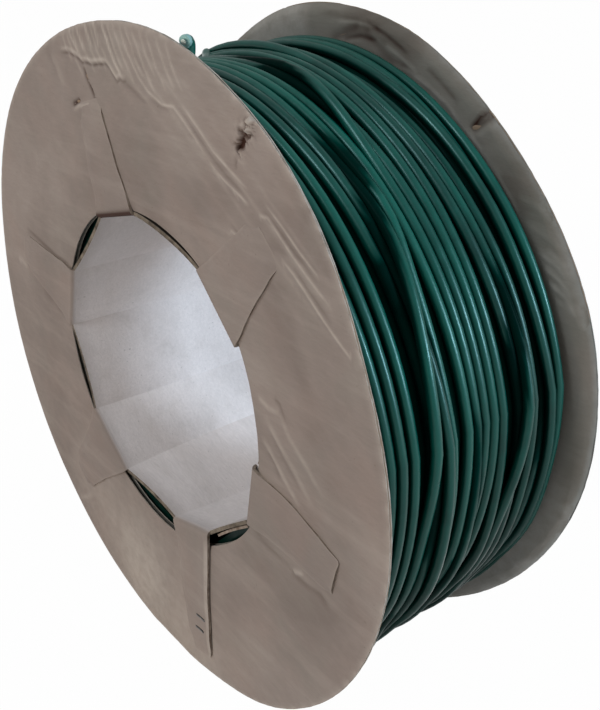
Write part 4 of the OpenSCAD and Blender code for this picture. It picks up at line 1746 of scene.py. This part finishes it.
@dataclass
class Winding:
    """The wound wire: outer turns laid one by one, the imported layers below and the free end.

    Attributes:
        bed_drop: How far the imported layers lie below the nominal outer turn.
        slip: How far a turn may slip from its wish, in millimetres.
        end_steps: Stations of the free end.
        end_y: Place of its tip along the axis, in millimetres.
        crossing_y: Half the width that it crosses, in millimetres.
        swings: The wander's waves: length in turns, and size.
        heaped: How far all turns stand out, as pairs of degrees and millimetres.
        hanging: How far they hang out below, from the near flange, 0, to the far one, 1.
        dipped: How far they lie lower on top, along the same share.
        crossing: The free end's place along the same share, by degrees.
        sunk: How far it sinks between the turns, by degrees, as a share of the way to the rim.
        tip: Its last points: degrees, share of the way to the rim and out past the flange.
    """

    sizes: SpoolSizes
    palette: Palette
    stations: int = 120
    start_angle: float = math.radians(-64)
    sides: int = 10
    layers: tuple[Layer, ...] = (
        Layer(20, -1.0, 1.0, 0.6),
        Layer(19, 1.0, -1.0, 1.6),
        Layer(18, -1.0, 0.97, 3.0),
    )
    bed_drop: float = 8.1 * MM
    seed: int = 9
    pulls: int = 160
    slip: float = 5.0
    end_steps: int = 28
    end_y: float = -44.5
    crossing_y: float = 39.5
    highlight_reach: float = 2.3 * MM
    swings: tuple[Place, ...] = (
        (0.37, 0.25), (0.61, 0.45), (0.83, 0.6), (1.31, 0.8), (2.3, 0.6), (3.7, 0.5))
    heaped: tuple[Place, ...] = (
        (-180, -0.8), (-110, 0.8), (-60, 1.9), (0, 2.4), (30, 2.6), (60, 3.5), (80, 4.2),
        (96, 0.9), (108, -0.8), (120, -3.4), (135, -2.6), (155, -1.6), (180, -0.8))
    hanging: tuple[Place, ...] = (
        (0, 1.2), (0.18, 1.4), (0.29, 2.6), (0.39, 1.0), (0.5, -1.6), (0.54, -1.6), (0.6, 0.8),
        (0.67, 2.5), (1, 1.6))
    dipped: tuple[Place, ...] = ((0, 3.2), (0.62, 3.0), (0.8, 1.2), (1, -0.8))
    crossing: tuple[Place, ...] = (
        (-56, 1), (-41, 1), (-36, 0.92), (-31, 0.84), (-26, 0.75), (-21, 0.66), (-16, 0.57),
        (-11, 0.48), (-6, 0.38), (-1, 0.28), (3, 0.2), (6, 0.13), (9, 0.07), (11, 0.03), (13, 0))
    sunk: tuple[Place, ...] = ((-32, 0), (-18, -0.3), (0, -0.4), (9, -0.42))
    tip: tuple[Triple, ...] = (
        (9.9, -0.5, 0.3), (11.4, -0.4, 0.35), (12.4, 0.0, 0.35), (12.9, 0.45, 0.35),
        (13.0, 0.75, 0.35), (12.95, 0.93, 0.4), (13.15, 1.0, 0.58), (13.45, 1.0, 0.8))

    def __post_init__(self) -> None:
        """Work out the room between the flanges and prepare the record of laid turns."""
        self.edge_y = self.sizes.face_y - self.sizes.board_t - self.sizes.wire_r - 0.15 * MM
        self.rise = 2 * self.sizes.wire_r
        self.laid_y: list[Array] = []
        self.laid_h: list[Array] = []

    def floor_height(self, y: Array, laid_y: Array, laid_h: Array) -> Array:
        """Lowest height at which the wire can lie at a place.

        Args:
            y: Places along the axis, with any shape whose last axis matches the laid turns.
            laid_y: Places of the turns that are there already, on the last axis.
            laid_h: Their heights.

        Returns:
            The height of the wire's middle above the winding's nominal outer turn.
        """
        bumps = 0.35 * MM * np.abs(np.sin(math.pi * y / (4 * MM)))
        height = -self.bed_drop + self.sizes.wire_r - bumps
        if laid_y.shape[-1]:
            gap = y[..., None] - laid_y
            lens = self.rise**2 - gap**2
            stacked = np.where(lens > 0, laid_h + np.sqrt(np.maximum(lens, 0)), -1.0)
            height = np.maximum(height, stacked.max(-1))
        return height

    def settle(self, floor: Array, first: float | None) -> Array:
        """Draw the wire tight over what lies below it.

        Args:
            floor: Lowest height at each station.
            first: Height at which the turn starts, or None where it is free.

        Returns:
            The heights of a tight and slightly stiff wire.
        """
        slack = self.sizes.turn_r * (TURN / self.stations) ** 2 / 2
        height = floor.copy()
        if first is not None:
            height[0] = max(first, floor[0])
        for _ in range(self.pulls):
            mean = height.copy()
            mean[1:-1] = (height[:-2] + height[2:]) / 2 - slack
            mean[-1] = height[-2] - slack
            lowered = np.maximum(floor, mean)
            lowered[0] = height[0]
            height = lowered
        soft = np.convolve(np.pad(height, 2, mode="edge"), (0.1, 0.2, 0.4, 0.2, 0.1), "valid")
        soft[0] = height[0]
        return soft

    def choose_path(self, wish: Array, first: float | None, laid_y: Array, laid_h: Array) -> Array:
        """Find the cheapest sideways path of one turn: it follows a wish but slips into grooves.

        Args:
            wish: Wished place along the axis at each station.
            first: Place where the turn starts, or None.
            laid_y: Places of the laid turns at each station.
            laid_h: Their heights.

        Returns:
            The place along the axis at each station.
        """
        offsets = np.arange(-self.slip, self.slip + 0.01, 0.25) * MM
        tries = np.clip(wish[:, None] + offsets, -self.edge_y, self.edge_y)
        height = self.floor_height(tries, laid_y[:, None], laid_h[:, None])
        cost = CLIMB_COST * height / MM + STRAY_COST * (offsets / MM) ** 2
        cost += PILE_COST * np.maximum(height / MM - PILE_HEIGHT, 0) ** 2
        if first is not None:
            cost[0] += START_COST * ((tries[0] - first) / MM) ** 2
        best = cost[0]
        back = []
        for station in range(1, len(wish)):
            step = (tries[station][:, None] - tries[station - 1][None, :]) / MM
            total = best[None, :] + BEND_COST * step**2
            pick = total.argmin(1)
            back.append(pick)
            best = total[np.arange(len(offsets)), pick] + cost[station]
        pick = int(best.argmin())
        path = [pick]
        for came in reversed(back):
            pick = int(came[pick])
            path.append(pick)
        path.reverse()
        y = tries[np.arange(len(wish)), path]
        kernel = np.array((0.06, 0.12, 0.2, 0.24, 0.2, 0.12, 0.06))
        return np.convolve(np.pad(y, 3, mode="edge"), kernel, "valid")

    def lay(self) -> tuple[Array, Array]:
        """Lay all turns of the outer layers in order.

        Returns:
            Place along the axis and height of the wire at each station of the whole length.
        """
        draw = np.random.default_rng(self.seed)
        n = self.stations
        all_y, all_h = [], []
        last_y = last_h = None
        for layer in self.layers:
            count = layer.turns * n
            way = np.linspace(layer.start, layer.end, count) * self.edge_y
            phase = np.arange(count) / n
            wave = np.zeros(count)
            for period, size in self.swings:
                swing = draw.uniform(0.6, 1.3)
                wave += size * swing * np.sin(TURN * phase / period + draw.uniform(0, TURN))
            fade = np.clip(np.minimum(phase, layer.turns - phase) / 1.5, 0.15, 1)
            wish = way + layer.wander * MM * wave * fade
            wish = np.clip(wish, -self.edge_y, self.edge_y)
            for turn in range(layer.turns):
                part = wish[turn * n:(turn + 1) * n]
                laid_y = np.array(self.laid_y).T.reshape(n, -1)
                laid_h = np.array(self.laid_h).T.reshape(n, -1)
                y = self.choose_path(part, last_y, laid_y, laid_h)
                if last_y is not None:
                    y += (last_y - y[0]) * np.exp(-np.arange(n) / 4)
                floor = self.floor_height(y, laid_y, laid_h)
                h = self.settle(floor, last_h)
                self.laid_y.append(y)
                self.laid_h.append(h)
                all_y.append(y)
                all_h.append(h)
                last_y = 2 * y[-1] - y[-2]
                last_h = 2 * h[-1] - h[-2]
        return np.concatenate(all_y), np.concatenate(all_h)

    def slack(self, angle: Array, y: Array) -> Array:
        """How far the turns stray from a circle: heaped up on top, hanging out below.

        Args:
            angle: Angles round the axis.
            y: Places along the axis.

        Returns:
            The outward offset in metres.
        """
        share = (y / self.edge_y + 1) / 2
        heaped = table_at(np.degrees(angle_from(angle, 0)), self.heaped)
        hang, dip = table_at(share, self.hanging), table_at(share, self.dipped)
        return (hang * hill(angle, 138, 42) + heaped - dip * hill(angle, -10, 30)) * MM

    def route(self, angle: Array, y: Array, height: Array) -> Array:
        """Points of the wire's middle line.

        Args:
            angle: Angles round the axis.
            y: Places along the axis.
            height: Heights above the nominal outer turn.

        Returns:
            The points.
        """
        reach = self.sizes.reach(angle, self.sizes.turn_r + height) + self.slack(angle, y)
        return self.sizes.around(reach, angle, y)

    def outer_turns(self) -> Piece:
        """Make the outer turns as one tube.

        Returns:
            The piece.
        """
        y, height = self.lay()
        angle = self.start_angle + np.arange(len(y)) * TURN / self.stations
        self.last = (y[-1], height[-1], angle[-1])
        piece = Bench.tube(
            "wire_outer_turns", self.route(angle, y, height), self.sizes.wire_r, self.sides)
        draw = np.random.default_rng(3)
        knots = draw.uniform(0, 1, len(y) // 45 + 2)
        tint = np.interp(np.arange(len(y)) / 45, np.arange(len(knots)), knots)
        self.mark_strand(piece, tint)
        self.mark_painted_shade(piece)
        Bench.smooth(piece, 50)
        return Bench.finish(piece, "green_cover", self.palette.cover, "wire_outer_layer")

    def mark_painted_shade(self, piece: Piece) -> None:
        """Store the painted shade of each point: darker the deeper it lies between the turns
        beside it, and darker over the lower right of the winding.

        Args:
            piece: The tube of the outer turns.
        """
        points = Bench.points(piece)
        y = points[:, 1]
        angle, radius = self.sizes.polar(points)
        height = radius - self.sizes.reach(angle, self.sizes.turn_r) - self.slack(angle, y)
        station = (np.arange(len(y)) // self.sides) % self.stations
        top = np.full(len(y), -1.0)
        for turn_y, turn_h in zip(self.laid_y, self.laid_h):
            hump = turn_h[station] + self.sizes.wire_r - (y - turn_y[station]) ** 2 / (6 * MM)
            top = np.maximum(top, hump)
        # Painted shade between the turns, by how far a point lies below its neighbours' tops.
        groove_shade = np.clip((top - height - 0.06 * MM) / (1.0 * MM), 0, 1)
        # Painted shade over the lower right of the winding.
        low_shade = 0.86 * hill(angle, 142, 66)
        Bench.mark(piece, "groove_shade", np.maximum(0.92 * groove_shade, low_shade))

    def mark_strand(self, piece: Piece, tint: Array) -> None:
        """Store the tint of a strand on the rings of its tube.

        Args:
            piece: The tube.
            tint: The tint at each point of its route.
        """
        count = len(piece.data.vertices)
        index = np.minimum(np.arange(count) // self.sides, len(tint) - 1)
        Bench.mark(piece, "tint", tint[index])

    def inner_layers(self, bore: Callable[[Array], Array]) -> Piece:
        """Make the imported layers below: a rippled profile spun round the axis.

        Args:
            bore: Gives the distance from the axis to the hole at angles.

        Returns:
            The piece.
        """
        sizes = self.sizes
        half_y = sizes.face_y - sizes.board_t - 0.4 * MM
        low, high = sizes.corner_r, sizes.turn_r - self.bed_drop
        across, deep = 21, 12
        profile = []
        ripple = 0.5 * MM
        for step in range(across * 5 + 1):
            share = step / (across * 5)
            bulge = abs(math.sin(math.pi * across * share)) ** 0.7
            profile.append((high - ripple + ripple * bulge, half_y * (2 * share - 1)))
        for side in (1, -1):
            rows = []
            for step in range(1, deep * 4):
                share = step / (deep * 4)
                bulge = abs(math.sin(math.pi * deep * share)) ** 0.7
                rows.append((high + (low - high) * share, side * (half_y - ripple * (1 - bulge))))
            rows.append((low, side * half_y))
            profile += rows if side == 1 else rows[::-1]
        profile = np.array(profile)
        piece = Bench.start(
            "wire_packed_layers", "circle", vertices=len(profile), radius=sizes.hole_r,
            fill_type="NOTHING")
        upright = np.c_[np.zeros(len(profile)), profile[:, 0]]
        Bench.move(piece, sizes.stand(upright, profile[:, 1]))
        Bench.edit_all(piece, lambda: bpy.ops.mesh.spin(
            steps=144, angle=TURN, center=(0, 0, sizes.axis_z), axis=(0, 1, 0)))
        Bench.close(piece, 1e-5)
        points = Bench.points(piece)
        angle, radius = sizes.polar(points)
        share = (radius - low) / (high - low)
        outside = sizes.reach(angle, high) + self.slack(angle, points[:, 1])
        inside = bore(angle)
        reach = inside + share * (outside - inside)
        Bench.move(piece, sizes.around(reach, angle, points[:, 1]))
        Bench.mark(piece, "tint", 0.2 + 0.3 * np.sin(points[:, 1] * 900) ** 2)
        Bench.smooth(piece, 60)
        # The layers below get the dark cover: painted shade.
        return Bench.finish(piece, "green_cover", self.palette.packed_shade, "wire_inner_layers")

    def free_end(self) -> None:
        """Make the free end: it crosses the turns, rises past the near rim and ends in a cut."""
        sizes = self.sizes
        n = self.stations
        last_y, last_h, last_angle = self.last
        steps = self.end_steps
        angle = last_angle + np.arange(steps) * TURN / n
        degrees = np.degrees(angle_from(angle, 0))
        goal = (2 * table_at(degrees, self.crossing) - 1) * self.crossing_y * MM
        mix = ease((np.arange(steps) - 2) / 8)
        y = last_y * (1 - mix) + goal * mix
        rows = (np.arange(steps) - 1) % n
        laid_y = np.array(self.laid_y).T[rows]
        laid_h = np.array(self.laid_h).T[rows]
        # The wire joins its own last turn here, so the turns are put out of its reach.
        laid_y[0], laid_h[0] = 9, 9
        floor = self.floor_height(y, laid_y, laid_h)
        floor[0] = last_h
        height = np.maximum(self.settle(floor, last_h), floor - 0.1 * MM)
        tip_degrees, tip_rise, tip_past = np.array(self.tip).T
        early = degrees[degrees < 9]
        whole = np.concatenate([early, tip_degrees])
        rise = np.concatenate([table_at(early, self.sunk), tip_rise])
        past = np.concatenate([np.zeros(len(early)), tip_past])
        y = np.interp(whole, degrees, y)
        height = np.interp(whole, degrees, height)
        turn = np.radians(whole)
        reach = sizes.reach(turn, sizes.turn_r + height) + self.slack(turn, y)
        rim = sizes.flange_r + sizes.wire_r - 0.5 * MM
        reach = reach + rise * (rim - reach)
        y = y + past * (self.end_y * MM - y)
        fine = self.rounded(sizes.around(reach, turn, y), 2)
        piece = Bench.tube("wire_free_end", fine, sizes.wire_r, 12)
        self.mark_strand(piece, np.full(len(fine), 0.6))
        for material in (self.palette.cover, self.palette.cut_cover_highlight):
            piece.data.materials.append(material)
        # The last millimetres of the end get the pale cover: a painted highlight.
        away = np.linalg.norm(Bench.centres(piece) - fine[-1], axis=1)
        for face in np.flatnonzero(away < self.highlight_reach):
            piece.data.polygons[int(face)].material_index = 1
        Bench.smooth(piece, 50)
        Bench.finish(piece, "green_cover", None, "wire_end")
        self.cut_end(fine)

    @staticmethod
    def rounded(route: Array, times: int) -> Array:
        """Cut a route's corners until it is round.

        Args:
            route: Its points.
            times: How often every corner is cut.

        Returns:
            The finer route with the same ends.
        """
        for _ in range(times):
            first, second = route[:-1], route[1:]
            cut = np.stack([0.75 * first + 0.25 * second, 0.25 * first + 0.75 * second], 1)
            route = np.concatenate([route[:1], cut.reshape(-1, 3), route[-1:]])
        return route

    def cut_end(self, route: Array) -> None:
        """Make the bare conductor that stands out of the cut cover.

        Args:
            route: Middle line of the free end.
        """
        way = route[-1] - route[-2]
        way = way / np.linalg.norm(way)
        stub = np.array([route[-1] - way * 1 * MM, route[-1] + way * 0.8 * MM])
        piece = Bench.tube("wire_bare_tip", stub, 0.9 * MM, 12)
        Bench.modify(piece, "BEVEL", width=0.15 * MM, segments=2, limit_method="ANGLE")
        Bench.smooth(piece, 50)
        Bench.finish(piece, "conductor", self.palette.conductor, "wire_conductor")

    def build(self, bore: Callable[[Array], Array]) -> None:
        """Make all of the wire.

        Args:
            bore: Gives the distance from the axis to the hole at angles.
        """
        self.outer_turns()
        self.inner_layers(bore)
        self.free_end()


@dataclass(frozen=True)
class Softbox:
    """A large even lamp.

    Attributes:
        name: Its name.
        place: Where it hangs.
        size: Its width and height.
        power: Its power in watts.
        colour: Its light.
        aim: What it looks at.
    """

    name: str
    place: Triple
    size: tuple[float, float]
    power: float
    colour: Colour
    aim: Triple = (0, 0, 0.13)

    def hang(self) -> None:
        """Put the lamp in the scene."""
        data = bpy.data.lights.new(self.name, "AREA")
        data.shape = "RECTANGLE"
        data.size, data.size_y = self.size
        data.energy = self.power
        data.color = self.colour
        lamp = bpy.data.objects.new(self.name, data)
        lamp.location = self.place
        look = Vector(self.aim) - Vector(self.place)
        lamp.rotation_euler = look.to_track_quat("-Z", "Y").to_euler()
        bpy.context.scene.collection.objects.link(lamp)


@dataclass
class Studio:
    """The pale floor, the soft light and the camera, with its eye, way and lens in mm."""

    lamps: tuple[Softbox, ...] = (
        Softbox("key", (1.43, 0.75, 0.65), (0.45, 0.45), 20.5, (0.62, 0.8, 1.0)),
        Softbox("fill", (0.0, -2.2, 0.22), (0.6, 0.6), 18, (1.0, 0.88, 0.77)),
        Softbox("top", (-0.1, -1.2, 1.5), (0.5, 0.5), 11, (0.78, 0.89, 1.0)),
    )
    ambient: float = 0.37
    eye: Triple = (0.27419, -0.19885, 0.30109)
    way: Triple = (-0.6872, 0.5624, -0.4598)
    lens: float = 47.4

    def floor(self) -> None:
        """Lay the floor: a wide disc that lifts at its edge, white where the camera sees it."""
        floor = Bench.start("floor", "circle", vertices=96, radius=9, fill_type="NGON")
        Bench.edit_all(floor, lambda: bpy.ops.mesh.inset(thickness=2.5))
        points = Bench.points(floor)
        points[:, 2] = np.where(np.hypot(points[:, 0], points[:, 1]) > 8, 0.6, 0)
        Bench.move(floor, points)
        Bench.smooth(floor, 60)
        mix = Recipe("pale floor")
        grain = mix.span(mix.noise(0.4, 3), 0.3, 0.7)
        mix.surface(
            mix.blend(grain, paint(216, 216, 216), paint(222, 222, 222)), 0.9,
            Specular_IOR_Level=0.1)
        glow = mix.node("ShaderNodeEmission", {"Color": (1, 1, 1, 1), "Strength": 1.0})
        ray = mix.node("ShaderNodeLightPath")
        looked = mix.sum("MAXIMUM", ray.outputs["Is Camera Ray"], mix.sum(
            "MAXIMUM", ray.outputs["Is Glossy Ray"], ray.outputs["Is Transmission Ray"]))
        seen = mix.sum("MULTIPLY", looked, 0.985)
        shown = mix.node(
            "ShaderNodeMixShader",
            {0: seen, 1: mix.shader.outputs[0], 2: glow.outputs[0]})
        output = next(node for node in mix.tree.nodes if node.type == "OUTPUT_MATERIAL")
        mix.tree.links.new(shown.outputs[0], output.inputs[0])
        floor.data.materials.append(mix.material)

    def sky(self) -> None:
        """Set the even light all round, white where the camera looks past the floor."""
        world = bpy.data.worlds.new("studio")
        bpy.context.scene.world = world
        world.use_nodes = True
        even = world.node_tree.nodes["Background"]
        even.inputs["Color"].default_value = (0.98, 0.99, 1.0, 1.0)
        nodes, links = world.node_tree.nodes, world.node_tree.links
        seen = nodes.new("ShaderNodeMapRange")
        seen.inputs["To Min"].default_value = self.ambient
        seen.inputs["To Max"].default_value = 1.0
        ray = nodes.new("ShaderNodeLightPath")
        links.new(ray.outputs["Is Camera Ray"], seen.inputs["Value"])
        links.new(seen.outputs[0], even.inputs["Strength"])

    def camera(self) -> None:
        """Set the camera."""
        data = bpy.data.cameras.new("camera")
        data.lens = self.lens
        data.sensor_width = 36
        data.clip_start, data.clip_end = 0.01, 40
        camera = bpy.data.objects.new("camera", data)
        camera.location = self.eye
        camera.rotation_euler = Vector(self.way).to_track_quat("-Z", "Y").to_euler()
        bpy.context.scene.collection.objects.link(camera)
        bpy.context.scene.camera = camera

    def build(self) -> None:
        """Set up the studio."""
        bpy.context.scene.view_settings.view_transform = "Standard"
        self.camera()
        self.floor()
        self.sky()
        for lamp in self.lamps:
            lamp.hang()


TEAR = (
    Crease(((0.463, 0.778), (0.472, 0.792), (0.479, 0.801), (0.49, 0.813)), 0, 1.5),
    Crease(((0.474, 0.796), (0.481, 0.804), (0.485, 0.809)), 0, 2.0),
    Crease(((0.487, 0.809), (0.492, 0.821), (0.479, 0.828), (0.475, 0.831)), 0, 1.3),
    Crease(((0.489, 0.818), (0.5, 0.825), (0.518, 0.833)), 0, 1.1),
)
SHREDS = Crease(((0.499, 0.841), (0.512, 0.844), (0.526, 0.848)), 0, 2.3)


def main() -> None:
    """Build the spool piece by piece."""
    logging.basicConfig(level=logging.INFO, format="%(name)s %(message)s")
    sizes = SpoolSizes.read()
    palette = Palette()
    near = Flange(
        sizes, Side.NEAR, palette, math.radians(122), NEAR_OUTLINE, NEAR_CREASES,
        tear=TEAR, shreds=SHREDS, buckled=BUCKLED)
    far = Flange(
        sizes, Side.FAR, palette, math.radians(75), FAR_OUTLINE, far_outer_creases(),
        FAR_INNER_CREASES)
    flanges = {Side.NEAR: near, Side.FAR: far}
    for flange in flanges.values():
        flange.build()
    core = Core(sizes, palette, flanges)
    core.build()
    Staples(sizes, palette, core).build()
    Winding(sizes, palette).build(core.bore)
    Studio().build()
    LOG.info("all pieces made")


if __name__ == "__main__":
    main()
